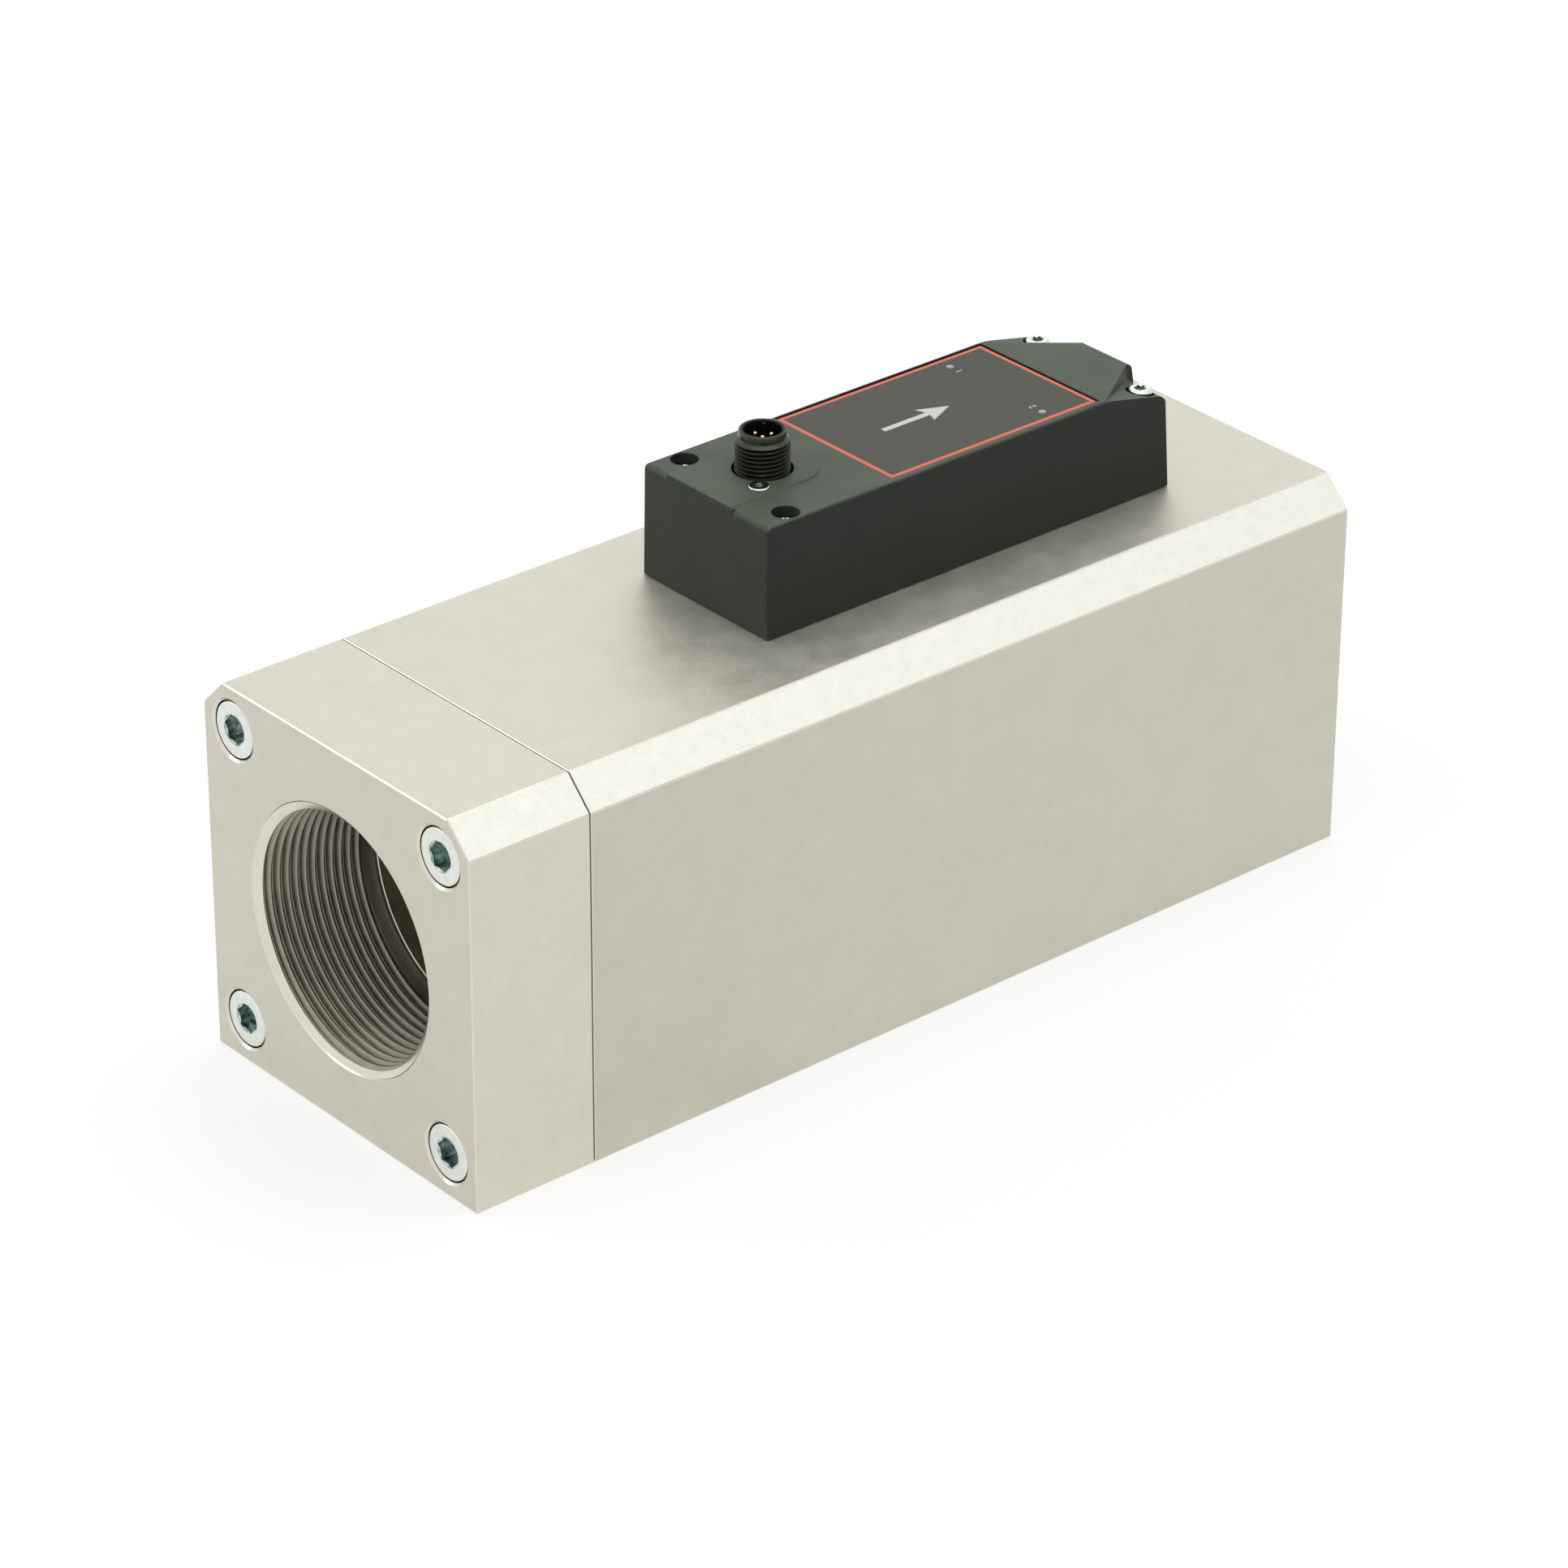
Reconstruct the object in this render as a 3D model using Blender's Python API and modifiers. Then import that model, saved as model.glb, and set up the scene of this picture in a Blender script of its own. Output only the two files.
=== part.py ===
"""In-line flow meter for compressed gas: two bolted aluminium blocks with an electronics cover on top.

Metres, +Z up. The flow runs along +X. The origin is at the middle of the underside.
"""

import math

import bmesh
import bpy
from mathutils import Matrix, Vector

# Clearances
FACE_GAP = 0.0003
SIDE_GAP = 0.0003
THROUGH = 0.002

# Aluminium blocks
BLOCK_WIDTH = 0.090
BLOCK_HEIGHT = 0.090
FLANGE_LENGTH = 0.031
BODY_LENGTH = 0.2157
TOP_CHAMFER = 0.0069
EDGE_BREAK = 0.0004
HOLE_EDGE = 0.0006

# Pipe thread of both ports
THREAD_MINOR_RADIUS = 0.02833
THREAD_DEPTH = 0.00148
THREAD_PITCH = 0.002309
THREAD_RUN_OUT = 0.00023
COUNTERSINK_RIM = 0.00059
COUNTERSINK_DEPTH = 0.0017
RELIEF_STEP = 0.00067
RELIEF_LENGTH = 0.0030

# Flow passage of the main body
FLOW_RADIUS = 0.0245
OUTLET_TAPER = 0.0038
SHOULDER_STEP = 0.0039
CHAMBER_LENGTH = 0.030
CHAMBER_CHAMFER = 0.0005
RETAINING_GROOVE_DEPTH = 0.0012
RETAINING_WIDTH = 0.0015
RETAINING_REACH = 0.0020
RETAINING_OPENING = 0.010
STRAIGHTENER_LENGTH = 0.008
STRAIGHTENER_CELL = 0.0074
CELL_WEB = 0.0008
GRID_RIM = 0.0015
SCREEN_LENGTH = 0.0015
SCREEN_HOLE_RADIUS = 0.0024
SCREEN_HOLE_SPACING = 0.0070

# Flange joint
BOLT_INSET = 0.010
BOLT_RADIUS = 0.0040
BOLT_HEAD_RADIUS = 0.00640
BOLT_HEAD_LENGTH = 0.0080
BOLT_LENGTH = 0.038
BOLT_HEAD_SINK = 0.0004
BOLT_HOLE_CLEARANCE = 0.00045
BOLT_KEY = 0.0060
BOLT_KEY_DEPTH = 0.0042
BOLT_KEY_TURN = 0.35
TIP_ROOM = 0.002
SMALL_TIP_ROOM = 0.001
FLANGE_SEAL_LAND = 0.0022
FLANGE_SEAL_SECTION = 0.0013

# Every screw: shares of its own head length and shank radius
HEAD_EDGE_SHARE = 0.12
TIP_SHARE = 0.30

# Small screws of the board and the probe
SMALL_SCREW_RADIUS = 0.0015
SMALL_SCREW_HEAD_RADIUS = 0.0026
SMALL_SCREW_HEAD_LENGTH = 0.0020
SMALL_SCREW_KEY = 0.0020
SMALL_SCREW_KEY_DEPTH = 0.0011
BOARD_SCREW_LENGTH = 0.0050
PROBE_SCREW_LENGTH = 0.0090

# Sensor probe
PROBE_RIM_WALL = 0.00125
PROBE_FLANGE_LENGTH = 0.0050
PROBE_STEM_RADIUS = 0.0067
PROBE_BELOW_AXIS = 0.0060
PROBE_TIP_CHAMFER = 0.0008
PROBE_SLOT_RISE = 0.0020
PROBE_SLOT_WIDTH = 0.0050
PROBE_SLOT_HEIGHT = 0.0160
PROBE_SEAL_SECTION = 0.0006
PROBE_SEAL_DROP = 0.0050
HEADER_LENGTH = 0.0125
HEADER_WIDTH = 0.0050

# Electronics cover
COVER_DOWNSTREAM = 0.0176  # from the middle of the main body to the cover's
COVER_LENGTH = 0.1161
COVER_HALF_WIDTH = 0.0207
COVER_HEIGHT = 0.0260
COVER_SIDE_DRAFT = 0.0003
COVER_FRONT_DRAFT = 0.0002
COVER_REAR_DRAFT = 0.0016
COVER_WALL = 0.0028
COVER_ROOF = 0.0027
COVER_FRONT_ROUND = 0.0030
COVER_REAR_ROUND = 0.0020
COVER_SIDE_ROUND = 0.0006
COVER_UPRIGHT_ROUND = 0.0009
CABLE_PAD_DEPTH = 0.0006
CABLE_PAD_RIM = 0.0022
CABLE_PAD_BACK = 0.0101
CABLE_PAD_HALF_WIDTH = 0.0102
CABLE_PAD_CORNER = 0.0060
LEDGE_LENGTH = 0.0203
LEDGE_SLOPE = 0.113
LEDGE_BEND_LENGTH = 0.0101
LEDGE_BEND_RADIUS = 0.0197
LEDGE_TOP_HALF_WIDTH = 0.0093
LEDGE_REAR = 0.0030
GASKET_HEIGHT = 0.0014
GASKET_OUTER_LIP = 0.0010
GASKET_INNER_LIP = 0.0004

# Cover screws
COVER_SCREW_FRONT_WALL = 0.00525
COVER_SCREW_REAR_WALL = 0.00275
COVER_SCREW_SIDE_WALL = 0.00105
COVER_SCREW_RADIUS = 0.0015
COVER_SCREW_HEAD_RADIUS = 0.00265
COVER_SCREW_HEAD_LENGTH = 0.0024
COVER_SCREW_HEAD_DROP = 0.0020
COVER_SCREW_HEAD_ROOM = 0.0004
COVER_SCREW_DRIVE_RADIUS = 0.00145
COVER_SCREW_DRIVE_WAIST = 0.00105
COVER_SCREW_DRIVE_DEPTH = 0.0013
COVER_SCREW_BITE = 0.0070
COVER_COLUMN_WALL = 0.00115

# Label plate
LABEL_FRONT_MARGIN = 0.0059
LABEL_REAR_MARGIN = 0.0007
LABEL_SIDE_MARGIN = 0.0019
LABEL_THICKNESS = 0.0005
LED_RADIUS = 0.0009
LED_FROM_LABEL_SIDE = 0.0038
LED_FROM_LABEL_END = 0.0124
LED_LENGTH = 0.0030

# Cable connector
CONNECTOR_FROM_FRONT = 0.0178
CONNECTOR_OFFSET = 0.0021
CONNECTOR_THREAD_RADIUS = 0.0060
CONNECTOR_THREAD_DEPTH = 0.00061
CONNECTOR_PITCH = 0.0010
CONNECTOR_RIDGES = 8
CONNECTOR_RISE = 0.0102
CONNECTOR_COLLAR_STEP = 0.00085
CONNECTOR_COLLAR_LENGTH = 0.0015
CONNECTOR_COLLAR_WALL = 0.0010
CONNECTOR_COLLAR_EDGE = 0.0002
CONNECTOR_SOCKET_DEPTH = 0.0085
CONNECTOR_HOLE_CLEARANCE = 0.00065
CONNECTOR_PLATE_MARGIN = 0.0013
CONNECTOR_PLATE_THICKNESS = 0.0025
CONNECTOR_FOOT_STEP = 0.0010
CONNECTOR_SEAL_SECTION = 0.0005
CONNECTOR_SEAL_LAND = 0.0001
KEY_WIDTH = 0.0009
KEY_REACH = 0.0009
KEY_TOP_DROP = 0.0004
PIN_RADIUS = 0.0005
PIN_FROM_WALL = 0.00165
PIN_TIP_DROP = 0.00165
PIN_TAIL = 0.0012
CONNECTOR_SCREW_LAND = 0.00024
CONNECTOR_SCREW_RADIUS = 0.0011
CONNECTOR_SCREW_HEAD_RADIUS = 0.0023
CONNECTOR_SCREW_HEAD_LENGTH = 0.0012
CONNECTOR_SCREW_DRIVE_RADIUS = 0.00097
CONNECTOR_SCREW_DRIVE_WAIST = 0.00069
CONNECTOR_SCREW_DRIVE_DEPTH = 0.00072
CONNECTOR_SCREW_LENGTH = 0.0056

# Circuit board
BOARD_END_ROOM = 0.0003
BOARD_SIDE_ROOM = 0.0019
BOARD_THICKNESS = 0.0016
BOARD_RISE = 0.0120
STANDOFF_RADIUS = 0.0027
STANDOFF_STUD = 0.0050
STANDOFF_FROM_FRONT = 0.0175
STANDOFF_FROM_REAR = 0.0060
STANDOFF_FROM_SIDE = 0.0040

# Facets
BORE_FACETS = 36
SEAL_FACETS = 28
SEAL_SIDES = 6
BOLT_FACETS = 20
SMALL_FACETS = 12
PIN_HOLE_FACETS = 8
PIN_TIP_STEPS = 3
CONNECTOR_FACETS = 22
HEXAGON_SIDES = 6
LOBE_POINTS = 12
CORNER_STEPS = 4
ROUND_SEGMENTS = 3
LEDGE_STEPS = 5
BREAK_ANGLE = math.radians(30)
SHARP_ANGLE = math.radians(40)

# Colour, roughness and metallic value of each finish
FINISHES = {
    "anodised aluminium": ((0.66, 0.65, 0.58), 0.42, 0.85),
    "drawn aluminium": ((0.72, 0.72, 0.70), 0.35, 1.0),
    "zinc plated steel": ((0.72, 0.74, 0.72), 0.30, 1.0),
    "stainless steel": ((0.60, 0.60, 0.58), 0.30, 1.0),
    "black rubber": ((0.02, 0.02, 0.02), 0.80, 0.0),
    "matt black plastic": ((0.075, 0.085, 0.070), 0.60, 0.0),
    "black moulding": ((0.030, 0.033, 0.028), 0.45, 0.0),
    "connector insert": ((0.012, 0.012, 0.012), 0.50, 0.0),
    "gold plate": ((0.85, 0.66, 0.30), 0.25, 1.0),
    "probe plastic": ((0.55, 0.53, 0.46), 0.45, 0.0),
    "board laminate": ((0.03, 0.16, 0.07), 0.45, 0.0),
    "brass": ((0.70, 0.52, 0.22), 0.35, 1.0),
    "printed label": ((0.11, 0.11, 0.10), 0.50, 0.0),
    "lens": ((0.45, 0.45, 0.42), 0.25, 0.0),
}

# Blocks and ports: what follows from the sizes
TOTAL_LENGTH = FLANGE_LENGTH + FACE_GAP + BODY_LENGTH
INLET_X = -TOTAL_LENGTH / 2
BODY_X = INLET_X + FLANGE_LENGTH + FACE_GAP
AXIS_Z = BLOCK_HEIGHT / 2
COUNTERSINK_RADIUS = THREAD_MINOR_RADIUS + THREAD_DEPTH + COUNTERSINK_RIM
RELIEF_RADIUS = THREAD_MINOR_RADIUS + RELIEF_STEP
THREAD_RIDGES = int((FLANGE_LENGTH - COUNTERSINK_DEPTH - RELIEF_LENGTH) / THREAD_PITCH)
THREAD_END = COUNTERSINK_DEPTH + THREAD_RIDGES * THREAD_PITCH + THREAD_RUN_OUT
CHAMBER_RADIUS = FLOW_RADIUS + SHOULDER_STEP
FLANGE_SEAL_RADIUS = CHAMBER_RADIUS + CHAMBER_CHAMFER + FLANGE_SEAL_LAND + SIDE_GAP + FLANGE_SEAL_SECTION
GRID_RADIUS = CHAMBER_RADIUS - SIDE_GAP
SCREEN_X = BODY_X + CHAMBER_LENGTH - FACE_GAP - SCREEN_LENGTH
STRAIGHTENER_X = SCREEN_X - FACE_GAP - STRAIGHTENER_LENGTH
RETAINING_X = STRAIGHTENER_X - FACE_GAP - RETAINING_WIDTH

# Cover, board and probe: what follows from the sizes
COVER_X = BODY_X + BODY_LENGTH / 2 + COVER_DOWNSTREAM - COVER_LENGTH / 2
COVER_END_X = COVER_X + COVER_LENGTH
COVER_BASE_Z = BLOCK_HEIGHT + FACE_GAP
COVER_TOP_Z = COVER_BASE_Z + COVER_HEIGHT
ROOF_Z = COVER_TOP_Z - COVER_ROOF
COVER_SEAT_Z = COVER_TOP_Z - COVER_SCREW_HEAD_DROP - COVER_SCREW_HEAD_LENGTH - FACE_GAP
COVER_COUNTERBORE_RADIUS = COVER_SCREW_HEAD_RADIUS + COVER_SCREW_HEAD_ROOM
COVER_COLUMN_RADIUS = COVER_COUNTERBORE_RADIUS + COVER_COLUMN_WALL
COVER_SCREW_FRONT = COVER_SCREW_FRONT_WALL + COVER_COUNTERBORE_RADIUS
COVER_SCREW_REAR = COVER_SCREW_REAR_WALL + COVER_COUNTERBORE_RADIUS
COVER_SCREW_HALF_SPACING = COVER_HALF_WIDTH - COVER_SCREW_SIDE_WALL - COVER_COUNTERBORE_RADIUS
GASKET_WIDTH = COVER_WALL - GASKET_OUTER_LIP - GASKET_INNER_LIP - 2 * SIDE_GAP
LEDGE_START = COVER_LENGTH - LEDGE_LENGTH
LEDGE_BEND_START = COVER_LENGTH - LEDGE_BEND_LENGTH
LEDGE_TOP_END = COVER_LENGTH - LEDGE_REAR
LABEL_START = CONNECTOR_FROM_FRONT + CABLE_PAD_BACK + CABLE_PAD_RIM + LABEL_FRONT_MARGIN
LABEL_LENGTH = LEDGE_START - LABEL_REAR_MARGIN - LABEL_START
LABEL_HALF_WIDTH = COVER_HALF_WIDTH - LABEL_SIDE_MARGIN
BOARD_X = COVER_X + COVER_SCREW_FRONT + COVER_COLUMN_RADIUS + BOARD_END_ROOM
BOARD_END_X = COVER_END_X - COVER_SCREW_REAR - COVER_COLUMN_RADIUS - BOARD_END_ROOM
BOARD_HALF_WIDTH = COVER_HALF_WIDTH - COVER_WALL - BOARD_SIDE_ROOM
BOARD_Z = COVER_BASE_Z + BOARD_RISE
BOARD_TOP_Z = BOARD_Z + BOARD_THICKNESS
PROBE_X = COVER_X + COVER_LENGTH / 2
PROBE_SEAT_Z = BLOCK_HEIGHT - PROBE_FLANGE_LENGTH - FACE_GAP
PROBE_TOP_Z = PROBE_SEAT_Z + PROBE_FLANGE_LENGTH
PROBE_HEAD_ROOM = SMALL_SCREW_HEAD_RADIUS + SIDE_GAP
PROBE_SCREW_OFFSET = PROBE_STEM_RADIUS + PROBE_RIM_WALL + PROBE_HEAD_ROOM
PROBE_FLANGE_RADIUS = PROBE_SCREW_OFFSET + PROBE_HEAD_ROOM + PROBE_RIM_WALL
PROBE_SCREW_Z = PROBE_TOP_Z - SMALL_SCREW_HEAD_LENGTH

# Connector: what follows from the sizes
CONNECTOR_X = COVER_X + CONNECTOR_FROM_FRONT
CONNECTOR_PLACE = (CONNECTOR_X, CONNECTOR_OFFSET)
CABLE_PAD_Z = COVER_TOP_Z - CABLE_PAD_DEPTH
CONNECTOR_TOP_Z = CABLE_PAD_Z + CONNECTOR_RISE
CONNECTOR_COLLAR_RADIUS = CONNECTOR_THREAD_RADIUS - CONNECTOR_COLLAR_STEP
CONNECTOR_SOCKET_RADIUS = CONNECTOR_COLLAR_RADIUS - CONNECTOR_COLLAR_WALL
CONNECTOR_HOLE_RADIUS = CONNECTOR_THREAD_RADIUS + CONNECTOR_HOLE_CLEARANCE
CONNECTOR_FOOT_RADIUS = CONNECTOR_THREAD_RADIUS + CONNECTOR_FOOT_STEP
CONNECTOR_FOOT_Z = BOARD_TOP_Z + FACE_GAP
CONNECTOR_SEAL_RADIUS = CONNECTOR_HOLE_RADIUS + CONNECTOR_SEAL_LAND + CONNECTOR_SEAL_SECTION
CONNECTOR_PLATE_TOP_Z = ROOF_Z - 2 * CONNECTOR_SEAL_SECTION - 2 * CONNECTOR_SEAL_LAND
CONNECTOR_PLATE_Z = CONNECTOR_PLATE_TOP_Z - CONNECTOR_PLATE_THICKNESS
CONNECTOR_SCREW_DISTANCE = CONNECTOR_HOLE_RADIUS + CONNECTOR_SCREW_LAND + CONNECTOR_SCREW_HEAD_RADIUS
CONNECTOR_SCREW_OFFSET = CONNECTOR_SCREW_DISTANCE / math.sqrt(2)
CONNECTOR_SCREW_HOLE = CONNECTOR_SCREW_RADIUS + SIDE_GAP
CONNECTOR_PLATE_HALF = CONNECTOR_SCREW_OFFSET + CONNECTOR_SCREW_HOLE + CONNECTOR_PLATE_MARGIN
PIN_CIRCLE_RADIUS = CONNECTOR_SOCKET_RADIUS - PIN_FROM_WALL


def start_scene():
    for old in list(bpy.data.objects):
        bpy.data.objects.remove(old, do_unlink=True)
    for name in ("flow_meter", "cutters"):
        bpy.context.scene.collection.children.link(bpy.data.collections.new(name))


def finish_material(name, colour, roughness, metallic):
    made = bpy.data.materials.new(name)
    made.use_nodes = True
    shader = made.node_tree.nodes["Principled BSDF"]
    shader.inputs["Base Color"].default_value = (*colour, 1.0)
    shader.inputs["Roughness"].default_value = roughness
    shader.inputs["Metallic"].default_value = metallic
    made.diffuse_color = (*colour, 1.0)
    return made


def add_object(name, mesh, material=None):
    """A part when it has a material, otherwise a cutter."""
    made = bpy.data.objects.new(name, mesh)
    if material is None:
        bpy.data.collections["cutters"].objects.link(made)
        made.hide_render = True
        made.display_type = "WIRE"
    else:
        bpy.data.collections["flow_meter"].objects.link(made)
        mesh.materials.append(material)
    return made


def block(name, low, high, material=None):
    mesh = bpy.data.meshes.new(name)
    shape = bmesh.new()
    bmesh.ops.create_cube(shape, size=1.0)
    low, high = Vector(low), Vector(high)
    bmesh.ops.scale(shape, vec=high - low, verts=shape.verts)
    bmesh.ops.translate(shape, vec=(low + high) / 2, verts=shape.verts)
    shape.to_mesh(mesh)
    shape.free()
    return add_object(name, mesh, material)


def rod(name, radius, low_z, high_z, facets, place=(0.0, 0.0), material=None):
    mesh = bpy.data.meshes.new(name)
    shape = bmesh.new()
    bmesh.ops.create_cone(
        shape, cap_ends=True, segments=facets, radius1=radius, radius2=radius, depth=high_z - low_z
    )
    shape.to_mesh(mesh)
    shape.free()
    made = add_object(name, mesh, material)
    made.location = (place[0], place[1], (low_z + high_z) / 2)
    return made


def turned(name, profile, facets, closed=False, material=None):
    """Turns (radius, height) points about Z. The outer side runs from top to bottom."""
    mesh = bpy.data.meshes.new(name)
    edges = [(i, i + 1) for i in range(len(profile) - 1)]
    if closed:
        edges.append((len(profile) - 1, 0))
    mesh.from_pydata([(radius, 0.0, height) for radius, height in profile], edges, [])
    made = add_object(name, mesh, material)
    screw = made.modifiers.new("Turn", "SCREW")
    screw.steps = screw.render_steps = facets
    screw.use_merge_vertices = True
    screw.merge_threshold = 0.00001
    screw.use_smooth_shade = True
    return made


def along_flow(made, x):
    """Lays a piece that was turned about Z along the bore, its bottom at x."""
    made.rotation_euler = (0.0, math.pi / 2, 0.0)
    made.location = (x, 0.0, AXIS_Z)
    return made


def prism(name, outline, thickness, material=None):
    """A flat outline in the XY plane, thickened equally above and below it."""
    curve = bpy.data.curves.new(name, "CURVE")
    curve.dimensions = "2D"
    curve.fill_mode = "BOTH"
    curve.extrude = thickness / 2
    spline = curve.splines.new("POLY")
    spline.points.add(len(outline) - 1)
    for point, (x, y) in zip(spline.points, outline):
        point.co = (x, y, 0.0, 1.0)
    spline.use_cyclic_u = True
    source = bpy.data.objects.new(name + "_outline", curve)
    bpy.context.scene.collection.objects.link(source)
    graph = bpy.context.evaluated_depsgraph_get()
    mesh = bpy.data.meshes.new_from_object(source.evaluated_get(graph))
    bpy.data.objects.remove(source)
    bpy.data.curves.remove(curve)
    shape = bmesh.new()
    shape.from_mesh(mesh)
    bmesh.ops.remove_doubles(shape, verts=shape.verts, dist=0.000001)
    bmesh.ops.recalc_face_normals(shape, faces=shape.faces)
    shape.to_mesh(mesh)
    shape.free()
    mesh.name = name
    return add_object(name, mesh, material)


def rounded_rectangle(low, high, corner):
    points = []
    centres = [(high[0], high[1], 0), (low[0], high[1], 1), (low[0], low[1], 2), (high[0], low[1], 3)]
    for x, y, quarter in centres:
        centre_x = x - math.copysign(corner, x - (low[0] + high[0]) / 2)
        centre_y = y - math.copysign(corner, y - (low[1] + high[1]) / 2)
        for step in range(CORNER_STEPS + 1):
            angle = (quarter + step / CORNER_STEPS) * math.pi / 2
            points.append((centre_x + corner * math.cos(angle), centre_y + corner * math.sin(angle)))
    return points


def loft(name, lower, low_z, upper, high_z):
    """A solid between two outlines with as many points each."""
    mesh = bpy.data.meshes.new(name)
    shape = bmesh.new()
    bottom = [shape.verts.new((x, y, low_z)) for x, y in lower]
    top = [shape.verts.new((x, y, high_z)) for x, y in upper]
    shape.faces.new(reversed(bottom))
    shape.faces.new(top)
    for i in range(len(bottom)):
        after = (i + 1) % len(bottom)
        shape.faces.new((bottom[i], bottom[after], top[after], top[i]))
    shape.to_mesh(mesh)
    shape.free()
    return add_object(name, mesh)


def apply_boolean(made, other, operation):
    change = made.modifiers.new(other.name, "BOOLEAN")
    change.operation = operation
    change.solver = "EXACT"
    change.object = other


def cut(made, *others):
    for other in others:
        apply_boolean(made, other, "DIFFERENCE")


def join(made, *others):
    for other in others:
        apply_boolean(made, other, "UNION")


def shade_round(made):
    made.data.shade_smooth()
    made.data.set_sharp_from_angle(angle=SHARP_ANGLE)


def thread_profile(root_radius, crest_radius, start, pitch, ridges):
    """Ridges of a thread from high to low, as (radius, height) points."""
    points = []
    for ridge in reversed(range(ridges)):
        height = start + ridge * pitch
        points += [(root_radius, height + pitch / 2), (crest_radius, height)]
    return points


def block_outline():
    half = BLOCK_WIDTH / 2
    return [
        (half, 0.0),
        (half, BLOCK_HEIGHT - TOP_CHAMFER),
        (half - TOP_CHAMFER, BLOCK_HEIGHT),
        (TOP_CHAMFER - half, BLOCK_HEIGHT),
        (-half, BLOCK_HEIGHT - TOP_CHAMFER),
        (-half, 0.0),
    ]


def aluminium_block(name, start_x, length, material):
    """The outline lies across the flow: its X becomes Y and its Y becomes Z."""
    made = prism(name, block_outline(), length, material)
    across = Matrix(((0, 0, 1), (1, 0, 0), (0, 1, 0))).to_4x4()
    made.data.transform(Matrix.Translation((start_x + length / 2, 0, 0)) @ across)
    breaks = made.modifiers.new("Edge break", "BEVEL")
    breaks.width = EDGE_BREAK
    breaks.segments = 1
    breaks.limit_method = "ANGLE"
    breaks.angle_limit = BREAK_ANGLE
    return made


def port_profile():
    """Half section of a threaded port, from its mouth at height 0 up into the block."""
    thread_root = THREAD_MINOR_RADIUS + THREAD_DEPTH
    first = COUNTERSINK_DEPTH + THREAD_PITCH / 2
    ridges = thread_profile(thread_root, THREAD_MINOR_RADIUS, first, THREAD_PITCH, THREAD_RIDGES)
    mouth = [
        (THREAD_MINOR_RADIUS, COUNTERSINK_DEPTH),
        (COUNTERSINK_RADIUS, 0.0),
        (COUNTERSINK_RADIUS, -THROUGH),
        (0.0, -THROUGH),
    ]
    return ridges[1:] + mouth


def bolt_places():
    half_width = BLOCK_WIDTH / 2 - BOLT_INSET
    half_height = BLOCK_HEIGHT / 2 - BOLT_INSET
    return [(y, AXIS_Z + z) for y in (half_width, -half_width) for z in (half_height, -half_height)]


def six_lobes(outer, waist):
    """A driver's star: its radius changes between the lobes and the waists."""
    points = []
    for i in range(LOBE_POINTS):
        radius = waist if i % 2 else outer
        angle = i * 2 * math.pi / LOBE_POINTS
        points.append((radius * math.cos(angle), radius * math.sin(angle)))
    return points


def hexagon(across_flats, turn=0.0):
    radius = across_flats / math.sqrt(3)
    angles = [turn + i * 2 * math.pi / HEXAGON_SIDES for i in range(HEXAGON_SIDES)]
    return [(radius * math.cos(angle), radius * math.sin(angle)) for angle in angles]


def screw(name, head_radius, head_length, shank_radius, shank_length, drive, drive_depth, facets, material):
    """A screw whose head rests on height 0, with the head above it and a recess for the driver."""
    edge = head_length * HEAD_EDGE_SHARE
    tip = shank_radius * TIP_SHARE
    profile = [
        (0.0, head_length),
        (head_radius - edge, head_length),
        (head_radius, head_length - edge),
        (head_radius, 0.0),
        (shank_radius, 0.0),
        (shank_radius, tip - shank_length),
        (shank_radius - tip, -shank_length),
        (0.0, -shank_length),
    ]
    made = turned(name, profile, facets, material=material)
    recess = prism(name + "_drive", drive, drive_depth * 2)
    recess.location.z = head_length
    recess.parent = made
    cut(made, recess)
    return made


def make_inlet_flange(material):
    flange = aluminium_block("inlet_flange", INLET_X, FLANGE_LENGTH, material)
    relief = [(0.0, FLANGE_LENGTH + THROUGH), (RELIEF_RADIUS, FLANGE_LENGTH + THROUGH)]
    relief += [(RELIEF_RADIUS, THREAD_END), (THREAD_MINOR_RADIUS, THREAD_END)]
    port = turned("inlet_port_cut", relief + port_profile(), BORE_FACETS)
    cut(flange, along_flow(port, INLET_X))
    head_room = BOLT_HEAD_LENGTH + BOLT_HEAD_SINK + FACE_GAP
    for number, (y, z) in enumerate(bolt_places(), 1):
        hole = turned(
            f"flange_hole_cut_{number}",
            [
                (0.0, FLANGE_LENGTH + THROUGH),
                (BOLT_RADIUS + BOLT_HOLE_CLEARANCE, FLANGE_LENGTH + THROUGH),
                (BOLT_RADIUS + BOLT_HOLE_CLEARANCE, head_room),
                (BOLT_HEAD_RADIUS + SIDE_GAP, head_room),
                (BOLT_HEAD_RADIUS + SIDE_GAP, HOLE_EDGE),
                (BOLT_HEAD_RADIUS + SIDE_GAP + HOLE_EDGE, 0.0),
                (BOLT_HEAD_RADIUS + SIDE_GAP + HOLE_EDGE, -THROUGH),
                (0.0, -THROUGH),
            ],
            BOLT_FACETS,
        )
        along_flow(hole, INLET_X)
        hole.location.y = y
        hole.location.z = z
        cut(flange, hole)
    return flange


def make_flange_screws(material):
    for number, (y, z) in enumerate(bolt_places(), 1):
        bolt = screw(
            f"flange_screw_{number}",
            BOLT_HEAD_RADIUS,
            BOLT_HEAD_LENGTH,
            BOLT_RADIUS,
            BOLT_LENGTH,
            hexagon(BOLT_KEY, BOLT_KEY_TURN),
            BOLT_KEY_DEPTH,
            BOLT_FACETS,
            material,
        )
        bolt.rotation_euler = (0.0, -math.pi / 2, 0.0)
        bolt.location = (INLET_X + BOLT_HEAD_SINK + BOLT_HEAD_LENGTH, y, z)


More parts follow.
